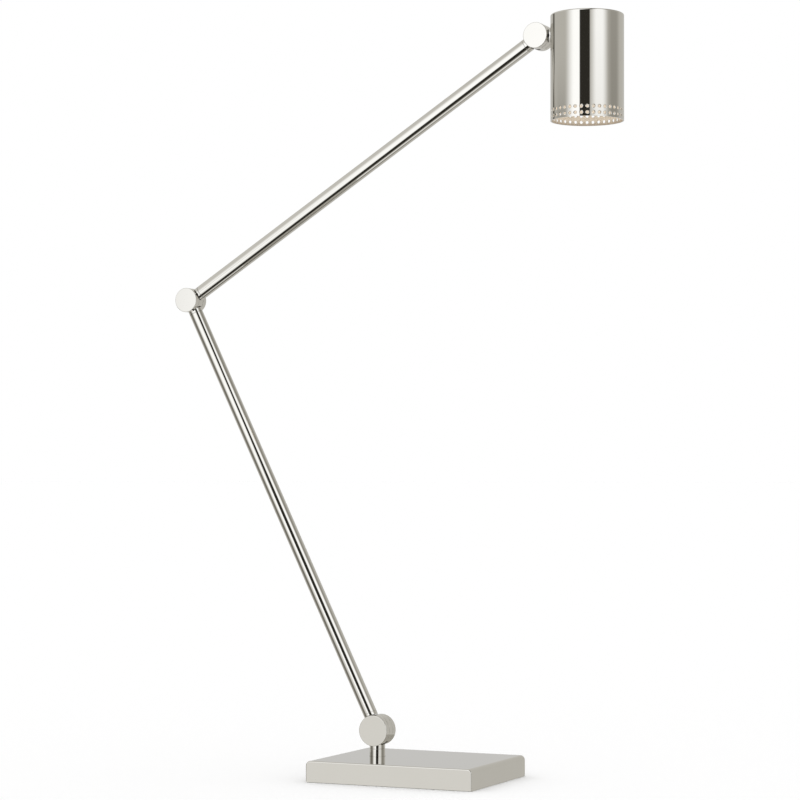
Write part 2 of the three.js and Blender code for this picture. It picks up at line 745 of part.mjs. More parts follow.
// A reflector bulb: a narrow cap at the top, a flared shell and a recess for the lens.
function bulbBody() {
  const capFoot = bulbTop - bulbCapHeight;
  const rimTop = bulbFace + bulbRimHeight;
  const flare = Array.from({ length: flareFacets }, (_, step) => {
    const t = (step + 1) / flareFacets;
    return [
      bulbCapRadius + (bulbRimRadius - bulbCapRadius) * Math.sin(t * Math.PI / 2),
      capFoot + (rimTop - capFoot) * (t * 0.6 + 0.4 * t ** 3),
    ];
  });
  const body = turned([
    [0, bulbTop], [bulbCapRadius, bulbTop], [bulbCapRadius, capFoot], ...flare,
    [bulbRimRadius, bulbFace], [lensRadius + fit, bulbFace],
    [lensRadius + fit, bulbFace + lensThickness + fit], [0, bulbFace + lensThickness + fit],
  ], 'z', drumSides);
  const pinHoles = [-1, 1].map((side) => moved(
    rod(pinRadius + slip, bulbTop - pinInBulb - slip, bulbTop + past), 0, side * pinSpacing / 2, 0,
  ));
  return cut(body, ...pinHoles);
}

const bulbLens = () => turned([
  [0, bulbFace + slip], [lensRadius - lensEdge, bulbFace + slip], [lensRadius, bulbFace + slip + lensEdge],
  [lensRadius, bulbFace + slip + lensThickness], [0, bulbFace + slip + lensThickness],
], 'z', drumSides);

const bulbPin = (side) => moved(
  rod(pinRadius, bulbTop - pinInBulb, bulbTop + slip + pinInHolder), 0, side * pinSpacing / 2, 0,
);

const headLead = () => rod(leadRadius, hubRadius + fit, shadeX - holderRadius / 2 - fit, 'x', leadSides);

// Pieces centred on the shade's own axis.
const onShadeAxis = (name, solid, finish) => meshAt(shadeX, 0, name, solid, finish);

// ---- Assembly ----

const windowAt = (tubeDirection, [low, high]) => [tubeDirection + low, tubeDirection + high];

// The tongue at the lower end of an arm.
const armTongue = (drumRadius, tubeDirection, travel) => tongue(
  drumRadius,
  armTubeRoot(drumRadius),
  jointGap + rootThickness + plugLength,
  windowAt(tubeDirection, travel),
);

// Where the other tube of a joint points, in degrees from +X towards +Z of the tongue's frame.
const downAlong = (ownLean, otherLean) => 270 + ownLean - otherLean;

const head = frameAt(
  0, upperArmLength, stubLean - upperArmLean,
  ...tongueSide('head', tongue(
    armDrumRadius, stub(), stubX + shadeWall + shankLength - armDrumRadius,
    windowAt(downAlong(stubLean, upperArmLean), headTravel),
  )),
  frameAt(
    0, 0, -stubLean,
    onShadeAxis('shade', shade(), finishes.polishedNickel),
    onShadeAxis('stub_washer', stubWasher(), finishes.steel),
    onShadeAxis('stub_nut', stubNut(), finishes.brass),
    onShadeAxis('lamp_bracket', lampBracket(), finishes.steel),
    onShadeAxis('lamp_holder', lampHolder(), finishes.ceramic),
    onShadeAxis('holder_screw_left', holderScrew(-1), finishes.steel),
    onShadeAxis('holder_screw_right', holderScrew(1), finishes.steel),
    onShadeAxis('bulb_body', bulbBody(), finishes.bulbShell),
    onShadeAxis('bulb_lens', bulbLens(), finishes.lens),
    onShadeAxis('bulb_pin_front', bulbPin(-1), finishes.brass),
    onShadeAxis('bulb_pin_back', bulbPin(1), finishes.brass),
    mesh('head_lead', headLead(), finishes.lead),
  ),
);

const upperArm = frameAt(
  0, lowerArmLength, upperArmLean - lowerArmLean,
  ...tongueSide('elbow', armTongue(armDrumRadius, downAlong(upperArmLean, lowerArmLean), elbowTravel)),
  ...armPieces('upper_arm', upperArmLength, armDrumRadius, armDrumRadius),
  frameAt(0, upperArmLength, 180, mesh('head_clevis', armClevis(), finishes.polishedNickel)),
  frameAt(0, upperArmLength, 0, ...pivotPieces('head')),
  head,
);

const lowerArm = frameAt(
  0, baseJointZ, lowerArmLean,
  ...tongueSide('base_joint', armTongue(baseDrumRadius, downAlong(lowerArmLean, 0), baseTiltTravel)),
  ...armPieces('lower_arm', lowerArmLength, baseDrumRadius, armDrumRadius),
  frameAt(0, lowerArmLength, 180, mesh('elbow_clevis', armClevis(), finishes.polishedNickel)),
  frameAt(0, lowerArmLength, 0, ...pivotPieces('elbow')),
  upperArm,
);

const swivel = frameAt(
  stemX, 0, 0,
  mesh('stem', stem(), finishes.polishedNickel),
  mesh('stem_collar', stemCollar(), finishes.steel),
  mesh('swivel_wave_washer', waveWasher(), finishes.steel),
  mesh('swivel_stop_washer', stopWasher(), finishes.steel),
  mesh('stem_nut', swivelNut(), finishes.steel),
  mesh('stem_lead', stemLead(), finishes.lead),
  frameAt(0, baseJointZ, 180, mesh('base_joint_clevis', stemClevis(), finishes.polishedNickel)),
  frameAt(0, baseJointZ, 0, ...pivotPieces('base_joint')),
  lowerArm,
);

const lamp = new THREE.Group();
lamp.name = 'desk_lamp';
lamp.add(
  mesh('base_cover', baseCover(), finishes.polishedNickel),
  mesh('base_weight', baseWeight(), finishes.castIron),
  mesh('bottom_plate', bottomPlate(), finishes.steel),
  mesh('base_pad', basePad(), finishes.rubber),
  ...postPlaces.map(([x, y], i) => meshAt(x, y, `base_screw_${i + 1}`, baseScrew(), finishes.steel)),
  meshAt(stemX, 0, 'thrust_washer', thrustWasher(), finishes.nylon),
  mesh('swivel_stop_pin', moved(
    rod(stopPinRadius, swivelNutTop, stopPinTop), stemX + stopPinOrbit, 0, 0,
  ), finishes.steel),
  mesh('cable_bush', cableBush(), finishes.rubber),
  meshAt(stemX, 0, 'base_lead', baseLead(), finishes.lead),
  swivel,
);

export default lamp;
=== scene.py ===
import json
import math

import bmesh
import bpy
from mathutils import Matrix, Vector


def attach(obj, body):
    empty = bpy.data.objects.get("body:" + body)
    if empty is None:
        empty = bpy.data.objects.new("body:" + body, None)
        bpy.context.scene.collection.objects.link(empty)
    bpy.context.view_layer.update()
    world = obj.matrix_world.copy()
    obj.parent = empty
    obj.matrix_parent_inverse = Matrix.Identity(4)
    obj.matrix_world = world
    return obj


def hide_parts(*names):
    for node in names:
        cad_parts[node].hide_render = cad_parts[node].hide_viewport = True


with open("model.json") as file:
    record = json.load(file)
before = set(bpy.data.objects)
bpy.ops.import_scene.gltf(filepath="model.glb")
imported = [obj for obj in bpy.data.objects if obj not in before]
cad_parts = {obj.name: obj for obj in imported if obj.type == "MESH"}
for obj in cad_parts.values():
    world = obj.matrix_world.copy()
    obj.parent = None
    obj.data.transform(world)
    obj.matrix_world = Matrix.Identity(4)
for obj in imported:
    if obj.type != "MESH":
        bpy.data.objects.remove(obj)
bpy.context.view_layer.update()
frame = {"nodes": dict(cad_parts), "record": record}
mm = 0.001
scene = bpy.context.scene
jointPlace = {j["name"]: Vector(j["pos_m"]) for j in frame["record"]["behaviour"]["joints"]}


def addNode(tree, kind, **settings):
    node = tree.nodes.new(kind)
    for key, value in settings.items():
        setattr(node, key, value)
    return node


def setInputs(node, **values):
    for key, value in values.items():
        node.inputs[key.replace("_", " ")].default_value = value
    return node


def addSockets(tree, way, kind, *names):
    for name in names:
        tree.interface.new_socket(name, in_out=way, socket_type=f"NodeSocket{kind}")


def feed(tree, socket, value):
    # a socket takes another node's output or a plain value
    if isinstance(value, bpy.types.NodeSocket):
        tree.links.new(value, socket)
    else:
        socket.default_value = value


def mathNode(tree, operation, *values, clamp=False):
    node = addNode(tree, "ShaderNodeMath", operation=operation, use_clamp=clamp)
    for socket, value in zip(node.inputs, values):
        feed(tree, socket, value)
    return node.outputs[0]


def mixColour(tree, factor, first, second):
    node = addNode(tree, "ShaderNodeMix", data_type="RGBA")
    for index, value in ((0, factor), (6, first), (7, second)):  # its factor and its two colours
        feed(tree, node.inputs[index], value)
    return node.outputs[2]


def rangeNode(tree, value, low, high, fromOne=False, smoothly=False):
    # 0 up to low and 1 from high on, or the other way round
    kind = "SMOOTHSTEP" if smoothly else "LINEAR"
    node = addNode(tree, "ShaderNodeMapRange", interpolation_type=kind)
    setInputs(node, From_Min=float(low), From_Max=float(high))
    setInputs(node, To_Min=float(fromOne), To_Max=float(not fromOne))
    tree.links.new(value, node.inputs[0])
    return node.outputs[0]


def rampNode(tree, value, stops):
    node = addNode(tree, "ShaderNodeValToRGB")
    ramp = node.color_ramp
    ramp.elements[0].position, ramp.elements[0].color = stops[0]
    ramp.elements[1].position, ramp.elements[1].color = stops[-1]
    for position, colour in stops[1:-1]:
        ramp.elements.new(position).color = colour
    tree.links.new(value, node.inputs[0])
    return node.outputs[0]


def linear(level):
    # a display level of 0 to 255 as linear light
    scaled = level / 255
    return scaled / 12.92 if scaled <= 0.04045 else ((scaled + 0.055) / 1.055) ** 2.4


def makeHandling():
    # faint cloudy smears and fine hairline marks, as on handled metal
    tree = bpy.data.node_groups.new("handling", "ShaderNodeTree")
    addSockets(tree, "INPUT", "Vector", "Vector")
    addSockets(tree, "INPUT", "Float", "Smear Size", "Smear Amount", "Hairline Size", "Hairline Amount")
    addSockets(tree, "OUTPUT", "Float", "Roughness Shift", "Height", "Mask")
    start = addNode(tree, "NodeGroupInput")
    end = addNode(tree, "NodeGroupOutput")
    smear = setInputs(addNode(tree, "ShaderNodeTexNoise"), Detail=3.0, Roughness=0.55)
    hair = setInputs(addNode(tree, "ShaderNodeTexNoise"), Detail=2.0, Roughness=0.7, Distortion=0.4)
    for noise, size in ((smear, "Smear Size"), (hair, "Hairline Size")):
        tree.links.new(start.outputs["Vector"], noise.inputs["Vector"])
        tree.links.new(start.outputs[size], noise.inputs["Scale"])
    cloud = mathNode(tree, "SUBTRACT", smear.outputs[0], 0.42, clamp=True)  # only the noise's peaks smear
    lines = mathNode(tree, "POWER", hair.outputs[0], 5.0)  # a high power leaves thin lines
    smearShift = mathNode(tree, "MULTIPLY", cloud, start.outputs["Smear Amount"])
    hairShift = mathNode(tree, "MULTIPLY", lines, start.outputs["Hairline Amount"])
    tree.links.new(mathNode(tree, "ADD", smearShift, hairShift), end.inputs["Roughness Shift"])
    tree.links.new(hair.outputs[0], end.inputs["Height"])
    tree.links.new(cloud, end.inputs["Mask"])
    return tree


def makeGrain():
    # moulded, cast or fired surface: speckle for colour, grain for height
    tree = bpy.data.node_groups.new("grain", "ShaderNodeTree")
    addSockets(tree, "INPUT", "Vector", "Vector")
    addSockets(tree, "INPUT", "Float", "Size")
    addSockets(tree, "OUTPUT", "Float", "Speckle", "Height")
    start = addNode(tree, "NodeGroupInput")
    end = addNode(tree, "NodeGroupOutput")
    noise = setInputs(addNode(tree, "ShaderNodeTexNoise"), Detail=5.0, Roughness=0.6)
    cells = addNode(tree, "ShaderNodeTexVoronoi")
    for node in (noise, cells):
        tree.links.new(start.outputs["Vector"], node.inputs["Vector"])
        tree.links.new(start.outputs["Size"], node.inputs["Scale"])
    tree.links.new(noise.outputs[0], end.inputs["Speckle"])
    pits = mathNode(tree, "MULTIPLY", cells.outputs[0], 0.4)
    tree.links.new(mathNode(tree, "ADD", noise.outputs[0], pits), end.inputs["Height"])
    return tree


handling = makeHandling()
grain = makeGrain()


def newMaterial(name):
    material = bpy.data.materials.new(name)
    material.use_nodes = True
    tree = material.node_tree
    shader = tree.nodes["Principled BSDF"]
    coords = addNode(tree, "ShaderNodeTexCoord")
    return material, tree, shader, coords.outputs["Object"]


def addRelief(tree, shader, effect, bump, distance):
    relief = setInputs(addNode(tree, "ShaderNodeBump"), Strength=bump, Distance=distance)
    tree.links.new(effect.outputs["Height"], relief.inputs["Height"])
    tree.links.new(relief.outputs[0], shader.inputs["Normal"])


def makeMetal(name, colour, dim, roughness, smear=(45.0, 0.03), hairline=(1400.0, 0.015), bump=0.0):
    # smear and hairline are each a size and an amount
    material, tree, shader, place = newMaterial(name)
    effect = addNode(tree, "ShaderNodeGroup", node_tree=handling)
    tree.links.new(place, effect.inputs["Vector"])
    setInputs(effect, Smear_Size=smear[0], Smear_Amount=smear[1], Hairline_Size=hairline[0],
              Hairline_Amount=hairline[1])
    blend = mixColour(tree, effect.outputs["Mask"], (*colour, 1), (*dim, 1))
    tree.links.new(blend, shader.inputs["Base Color"])
    rough = mathNode(tree, "ADD", effect.outputs["Roughness Shift"], roughness)
    tree.links.new(rough, shader.inputs["Roughness"])
    shader.inputs["Metallic"].default_value = 1.0
    if bump:
        addRelief(tree, shader, effect, bump, 0.05 * mm)
    return material


def makeGrained(name, colour, dark, roughness, size, bump, metallic=0.0):
    material, tree, shader, place = newMaterial(name)
    effect = addNode(tree, "ShaderNodeGroup", node_tree=grain)
    tree.links.new(place, effect.inputs["Vector"])
    effect.inputs["Size"].default_value = size
    speckle = effect.outputs["Speckle"]
    tree.links.new(mixColour(tree, speckle, (*dark, 1), (*colour, 1)), shader.inputs["Base Color"])
    spread = 0.12  # how far the speckle moves the roughness
    rough = mathNode(tree, "ADD", mathNode(tree, "MULTIPLY", speckle, spread), roughness - spread / 2)
    tree.links.new(rough, shader.inputs["Roughness"])
    shader.inputs["Metallic"].default_value = metallic
    addRelief(tree, shader, effect, bump, 0.1 * mm)
    return material


nickelColour = (0.66, 0.645, 0.61)
nickel = makeMetal("polishedNickel", nickelColour, (0.645, 0.628, 0.59), 0.03)
# near-black metal painted into the joint gaps as painted shade
paintedGapShade = makeMetal("paintedShadeInGaps", (0.05, 0.048, 0.044), (0.03, 0.03, 0.028), 0.5, bump=0.2)
steel = makeMetal("plainSteel", (0.60, 0.59, 0.57), (0.50, 0.49, 0.47), 0.3, smear=(150.0, 0.15),
                  hairline=(3000.0, 0.1), bump=0.15)
brass = makeMetal("brass", (0.78, 0.60, 0.32), (0.66, 0.48, 0.24), 0.25, smear=(200.0, 0.15), bump=0.1)
castIron = makeGrained("castIron", (0.10, 0.10, 0.105), (0.05, 0.05, 0.052), 0.7, 700.0, 0.5, metallic=0.6)
nylon = makeGrained("nylon", (0.82, 0.80, 0.74), (0.74, 0.72, 0.66), 0.5, 900.0, 0.1)
rubber = makeGrained("rubber", (0.035, 0.035, 0.036), (0.02, 0.02, 0.021), 0.75, 1200.0, 0.4)
leadSheath = makeGrained("leadSheath", (0.05, 0.05, 0.052), (0.035, 0.035, 0.036), 0.5, 1500.0, 0.15)
ceramic = makeGrained("ceramic", (0.86, 0.84, 0.79), (0.80, 0.78, 0.72), 0.3, 600.0, 0.12)
bulbShell = makeGrained("bulbShell", (0.80, 0.80, 0.78), (0.76, 0.76, 0.74), 0.4, 900.0, 0.08)
lensFrost = makeGrained("lensFrost", (0.93, 0.90, 0.82), (0.88, 0.85, 0.76), 0.35, 1200.0, 0.2)
shadeInside = makeGrained("shadeInside", (0.81, 0.73, 0.62), (0.77, 0.68, 0.56), 0.45, 1500.0, 0.1)

# pieces that are hidden or small keep their CAD meshes and take a finish
drums = ("base_joint", "elbow", "head")
plainPieces = {
    castIron: ["base_weight"],
    steel: ["bottom_plate", "swivel_stop_pin", "stem_collar", "swivel_wave_washer", "swivel_stop_washer",
            "stem_nut", "stub_washer", "lamp_bracket", "holder_screw_left", "holder_screw_right",
            *(f"base_screw_{n}" for n in (1, 2, 3, 4)), *(f"{drum}_spring_washer" for drum in drums)],
    brass: ["stub_nut", "bulb_pin_front", "bulb_pin_back", *(f"{drum}_pivot_bush" for drum in drums)],
    nylon: ["thrust_washer",
            *(f"{drum}_friction_washer_{side}" for drum in drums for side in ("front", "back"))],
    leadSheath: [f"{body}_lead" for body in ("base", "stem", "lower_arm", "upper_arm", "head")],
}
for finish, pieces in plainPieces.items():
    for piece in pieces:
        mesh = frame["nodes"][piece].data
        mesh.materials.clear()
        mesh.materials.append(finish)
print("materials made")


def newObject(name, mesh, material=None):
    thing = bpy.data.objects.new(name, mesh)
    scene.collection.objects.link(thing)
    if material:
        mesh.materials.append(material)
    return thing


def softened(points, radius, closed=True, steps=4):
    # rounds the corners of a profile; radius is one number, or one for each corner
    radii = [radius] * len(points) if isinstance(radius, (int, float)) else radius
    result = []
    for i, corner in enumerate(points):
        here = Vector(corner)
        r = radii[i]
        if r <= 0 or (not closed and i in (0, len(points) - 1)):
            result.append(tuple(here))
            continue
        before = Vector(points[i - 1]) - here
        after = Vector(points[(i + 1) % len(points)]) - here
        half = before.angle(after) / 2
        reach = min(r / math.tan(half), before.length * 0.49, after.length * 0.49)
        r = reach * math.tan(half)
        first = here + before.normalized() * reach
        last = here + after.normalized() * reach
        centre = here + (before.normalized() + after.normalized()).normalized() * (r / math.sin(half))
        a, b = first - centre, last - centre
        turn = a.angle_signed(b)
        for s in range(steps + 1):
            angle = -turn * s / steps
            result.append((centre.x + a.x * math.cos(angle) - a.y * math.sin(angle),
                           centre.y + a.x * math.sin(angle) + a.y * math.cos(angle)))
    return result


def circlePoints(radius, sides):
    turns = [2 * math.pi * k / sides for k in range(sides)]
    return [(radius * math.cos(a), radius * math.sin(a)) for a in turns]


def vertRing(bm, points, place=Matrix()):
    return [bm.verts.new(place @ (Vector(point) * mm)) for point in points]


def skin(bm, rings, closed=False, capped=False):
    # faces from one ring of vertices to the next; a ring may be a single vertex
    for low, high in zip(rings, rings[1:] + (rings[:1] if closed else [])):
        sides = max(len(low), len(high))
        for k in range(sides if sides > 1 else 0):
            n = (k + 1) % sides
            if len(low) == 1:
                bm.faces.new((low[0], high[n], high[k]))
            elif len(high) == 1:
                bm.faces.new((low[k], low[n], high[0]))
            else:
                bm.faces.new((low[k], low[n], high[n], high[k]))
    if capped:
        bm.faces.new(list(reversed(rings[0])))
        bm.faces.new(rings[-1])


def turnedInto(bm, profile, place, sides=96, closed=True):
    # profile points are (radius, height) about the Z axis of place
    rings = [[(0, 0, z)] if r < 1e-6 else [(x, y, z) for x, y in circlePoints(r, sides)] for r, z in profile]
    skin(bm, [vertRing(bm, ring, place) for ring in rings], closed)


def blockInto(bm, low, high, bevel):
    corners = [(x, y, z) for x in (low[0], high[0]) for y in (low[1], high[1]) for z in (low[2], high[2])]
    verts = vertRing(bm, corners)
    quads = ((0, 1, 3, 2), (4, 6, 7, 5), (0, 4, 5, 1), (2, 3, 7, 6), (0, 2, 6, 4), (1, 5, 7, 3))
    faces = [bm.faces.new([verts[i] for i in quad]) for quad in quads]
    edges = {edge for face in faces for edge in face.edges}
    bmesh.ops.bevel(bm, geom=list(edges), offset=bevel * mm, segments=2, affect="EDGES")


def meshFrom(name, fill):
    # fill draws into an empty bmesh; its normals are made to point outwards
    bm = bmesh.new()
    fill(bm)
    bmesh.ops.remove_doubles(bm, verts=bm.verts, dist=1e-7)
    bmesh.ops.recalc_face_normals(bm, faces=bm.faces)
    mesh = bpy.data.meshes.new(name)
    bm.to_mesh(mesh)
    bm.free()
    smooth(mesh)
    return mesh


def smooth(mesh):
    mesh.polygons.foreach_set("use_smooth", [True] * len(mesh.polygons))
    mesh.set_sharp_from_angle(angle=math.radians(30))


def flatsFirst(thing):
    # wide flat faces keep straight reflections beside small rounded edges
    weighted = thing.modifiers.new("flatsFirst", "WEIGHTED_NORMAL")
    weighted.mode = "FACE_AREA"
    weighted.keep_sharp = True
    return thing


def withModifiers(thing):
    # the mesh as its modifiers leave it
    return bpy.data.meshes.new_from_object(thing.evaluated_get(bpy.context.evaluated_depsgraph_get()))


def drill(radius, low, high, place, sides=48):
    # a closed rod to cut a hole with
    profile = [(0, low), (radius, low), (radius, high), (0, high)]
    return meshFrom("drill", lambda bm: turnedInto(bm, profile, place, sides, False))


def cutAway(thing, *cutters):
    # subtracts closed meshes and leaves a plain mesh
    for mesh in cutters:
        tool = newObject("cutter", mesh)
        cut = thing.modifiers.new("cut", "BOOLEAN")
        cut.operation, cut.solver, cut.object = "DIFFERENCE", "EXACT", tool
        result = withModifiers(thing)
        thing.modifiers.clear()
        result.materials.clear()
        for material in thing.data.materials:
            result.materials.append(material)
        thing.data = result
        bpy.data.objects.remove(tool)
    smooth(thing.data)
    return thing


def turnedPiece(name, material, profile, place, sides=96, closed=True):
    mesh = meshFrom(name, lambda bm: turnedInto(bm, profile, place, sides, closed))
    return flatsFirst(newObject(name, mesh, material))


def leaning(point, degrees):
    # a frame at point whose Z axis leans from upright towards +X
    return Matrix.Translation(point) @ Matrix.Rotation(math.radians(degrees), 4, "Y")


def alongY(place):
    return place @ Matrix.Rotation(math.radians(-90), 4, "X")


def standsFor(piece, body, node):
    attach(piece, body)
    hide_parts(node)


# sizes are in mm
base = {
    "length": 154.6, "width": 119.0, "height": 18.5, "rim": 0.4, "rimBevel": 0.25, "wall": 2.0,
    "topWall": 1.5, "insideBevel": 1.8, "endRadius": 4.2, "endSteps": 8, "faceRadius": 0.9, "faceSteps": 6,
    "stemX": -37.4, "stemHole": 7.05, "leadHeight": 5.6, "leadHole": 3.4, "padInset": 3.0, "padRadius": 5.0,
    "padTop": 1.8, "padBevel": 0.3, "padSteps": 6,
}
bush = {"bore": 1.8, "neck": 3.1, "flange": 4.2, "depth": 3.6, "gap": 0.15, "proud": 1.1}


def quarterTurn(steps):
    return [math.pi / 2 * s / steps for s in range(steps + 1)]


def coverOutline(inset):
    # one ring of the end view, from bottom left over the top to bottom right
    half = base["length"] / 2 - inset
    top = base["height"] - inset
    radius = base["endRadius"] - inset
    rim, foot, end = base["rim"], base["rim"] + base["rimBevel"], half - base["rimBevel"]
    left = [(-half + radius - radius * math.cos(a), top - radius + radius * math.sin(a))
            for a in quarterTurn(base["endSteps"])]
    right = [(-x, z) for x, z in reversed(left)]
    return [(-end, rim), (-half, foot), *left, *right, (half, foot), (end, rim)]


def baseCover():
    def fill(bm):
        r = base["faceRadius"]
        arcs = quarterTurn(base["faceSteps"])
        rings = []
        for side, order in ((-1, arcs), (1, list(reversed(arcs)))):
            for a in order:
                y = side * (base["width"] / 2 - r + r * math.cos(a))
                outline = coverOutline(r * (1 - math.sin(a)))
                rings.append(vertRing(bm, [(x, y, z) for x, z in outline]))
        skin(bm, rings, capped=True)

    def inner(bm):
        x, y = base["length"] / 2 - base["wall"], base["width"] / 2 - base["wall"]
        blockInto(bm, (-x, -y, -5), (x, y, base["height"] - base["topWall"]), base["insideBevel"])

    here = Matrix.Translation(Vector((base["stemX"], 0, 0)) * mm)
    half, top, past = base["width"] / 2, base["height"], 10
    stemHole = drill(base["stemHole"], top - past, top + past, here, 96)
    leadHole = drill(base["leadHole"], half - past, half + past, leadPlace())
    cover = newObject("baseCover", meshFrom("baseCover", fill), nickel)
    cutAway(cover, meshFrom("inner", inner), stemHole, leadHole)
    flatsFirst(cover)
    standsFor(cover, "base", "base_cover")


def basePad():
    def fill(bm):
        x, y = base["length"] / 2 - base["padInset"], base["width"] / 2 - base["padInset"]
        r, bevel = base["padRadius"], base["padBevel"]
        step = 90 / base["padSteps"]
        outline = [(cx * (x - r) + r * math.cos(a), cy * (y - r) + r * math.sin(a))
                   for cx, cy, start in ((1, 1, 0), (-1, 1, 90), (-1, -1, 180), (1, -1, 270))
                   for a in (math.radians(start + step * s) for s in range(base["padSteps"] + 1))]
        levels = ((0, bevel), (bevel, 0), (base["padTop"], 0))
        skin(bm, [vertRing(bm, [(px * (x - inset) / x, py * (y - inset) / y, z) for px, py in outline])
                  for z, inset in levels], capped=True)

    pad = newObject("basePad", meshFrom("basePad", fill), rubber)
    standsFor(pad, "base", "base_pad")


def leadPlace():
    # where the supply lead would enter, along Y
    return alongY(Matrix.Translation(Vector((base["stemX"], 0, base["leadHeight"])) * mm))


def cableBush():
    bore, neck, flange = bush["bore"], bush["neck"], bush["flange"]
    foot, seat, top = (base["width"] / 2 + y for y in (-bush["depth"], bush["gap"], bush["proud"]))
    profile = softened([(bore, foot), (neck, foot), (neck, seat), (flange, seat), (flange, top),
                        (bore, top + 0.05)], [0.1, 0.3, 0.1, 0.1, 0.5, 0.4])
    piece = turnedPiece("cableBush", rubber, profile, leadPlace(), 48)
    standsFor(piece, "base", "cable_bush")


baseCover()
basePad()
cableBush()
print("base made")


# each joint is a drum of two cheeks with a tongue between them
joint = {
    "half": 9.3, "edge": 0.45, "cheek": 3.8, "tongue": 3.5, "gap": 0.5, "root": 2.0, "rootEdge": 0.12,
    "seam": 0.15, "plugFit": 0.15, "neck": 3.0, "leadBore": 1.8, "rimWall": 2.0, "chamber": 1.8, "hub": 4.35,
    "bushHole": 3.05, "washerSeat": 7.7, "seatDepth": 0.65, "pivotHole": 2.15, "headSeat": 3.7,
    "seatFloor": 6.1, "faceWall": 1.6, "rootRings": (3.0, 4.2, 5.2),
}
screw = {
    "radius": 2.0, "seat": 7.1, "tip": -7.4, "head": 3.4, "headHeight": 2.0, "socket": 1.5,
    "socketDepth": 1.2,
}
tube = {"radius": 6.1, "bore": 4.9, "plug": 12.0, "drum": 10.82, "edge": 0.2}
stem = {"radius": 6.75, "bore": 4.25, "plug": 8.0, "drum": 13.38, "foot": 8.65}
travel = {j["name"]: j["range_deg"] for j in frame["record"]["behaviour"]["joints"]}
drumSides = 128


def ringAt(radius, height):
    # a ring about the tube's axis; height is one number, or depends on the distance across the drum
    return [(x, y, height(x) if callable(height) else height) for x, y in circlePoints(radius, drumSides)]


def ringsInto(bm, rings, place):
    skin(bm, [vertRing(bm, ring, place) for ring in rings], closed=True)


def copedRings(drum, radius):
    # the end of a tube hollowed to follow its drum, from the lead's way out to the tube's edge
    reach = drum + joint["gap"]
    edge = joint["rootEdge"]

    def follow(lift):
        return lambda x: math.sqrt(reach ** 2 - x ** 2) + lift

    radii = (joint["leadBore"], *joint["rootRings"], radius - edge)
    return [*(ringAt(r, follow(0)) for r in radii), ringAt(radius, follow(edge))]


def paintGapShade(mesh, point, drum):
    # painted shade: the faces deep in the narrow gap between a drum and its tube take a near-black finish
    # that stands in for the shade in that gap
    mesh.materials.append(paintedGapShade)
    for face in mesh.polygons:
        outward = Vector((face.center.x - point.x, 0, face.center.z - point.z))
        away = outward.length / mm - drum
        across = abs(face.normal.y) > 0.9
        inward = face.normal.dot(outward.normalized()) < -0.3
        if 0.02 < away < joint["gap"] + 0.05 and (across or inward):
            face.material_index = 1


def trueRounds(thing, *rounds):
    # flat faces keep straight reflections, and the round walls named reflect as true cylinders
    flatsFirst(thing)
    mesh = withModifiers(thing)
    thing.modifiers.clear()
    thing.data = mesh
    normals = [Vector(n.vector) for n in mesh.corner_normals]
    for place, radius in rounds:
        back = place.inverted()
        turn = place.to_3x3()
        flat = [back @ v.co for v in mesh.vertices]
        onWall = [abs(math.hypot(p.x, p.y) / mm - radius) < 0.01 for p in flat]
        axis = turn @ Vector((0, 0, 1))
        for face in mesh.polygons:
            if abs(face.normal.dot(axis)) < 0.05 and all(onWall[i] for i in face.vertices):
                for loop in face.loop_indices:
                    p = flat[mesh.loops[loop].vertex_index]
                    normals[loop] = turn @ Vector((p.x, p.y, 0)).normalized()
    mesh.normals_split_custom_set(normals)


def copedLink(bm, place, size):
    # the tube's full round carried up between the cheeks and hollowed round the tongue
    drum, radius = size["drum"], size["radius"]
    plugRadius = size["bore"] - joint["plugFit"]
    end = drum + joint["gap"] + joint["root"]
    profile = [(joint["leadBore"], drum / 2), (radius, drum / 2), (radius, end), (plugRadius, end),
               (plugRadius, end + size["plug"]), (joint["leadBore"], end + size["plug"])]
    link = newObject("link", meshFrom("link", lambda b: turnedInto(b, profile, place, drumSides)))
    cutAway(link, drill(drum + joint["gap"], -joint["cheek"], joint["cheek"], alongY(place), 192))
    bm.from_mesh(link.data)
    bpy.data.objects.remove(link)


def clevis(name, body, node, point, lean, size):
    # lean is the way its own tube runs from the pivot
    place = leaning(point, lean)
    across = alongY(Matrix.Translation(point))
    drum, half, cheek, e = size["drum"], joint["half"], joint["cheek"], joint["edge"]
    pivotHole, face = joint["pivotHole"], joint["half"] - joint["faceWall"]

    def fill(bm):
        front = [(0, -face), (pivotHole, -face), (pivotHole, -cheek), (drum, -cheek), (drum, -half),
                 (0, -half)]
        turnedInto(bm, softened(front, [0, 0.1, 0.1, 0.2, e, 0], closed=False), across, drumSides, False)
        back = [(pivotHole, cheek), (drum, cheek), (drum, half), (joint["headSeat"], half),
                (joint["headSeat"], joint["seatFloor"]), (pivotHole, joint["seatFloor"])]
        turnedInto(bm, softened(back, [0.1, 0.2, e, 0.25, 0.1, 0.1]), across, drumSides)
        copedLink(bm, place, size)

    piece = newObject(name, meshFrom(name, fill), nickel)
    paintGapShade(piece.data, point, drum)
    trueRounds(piece, (place, size["radius"]), (across, drum))
    standsFor(piece, body, node)


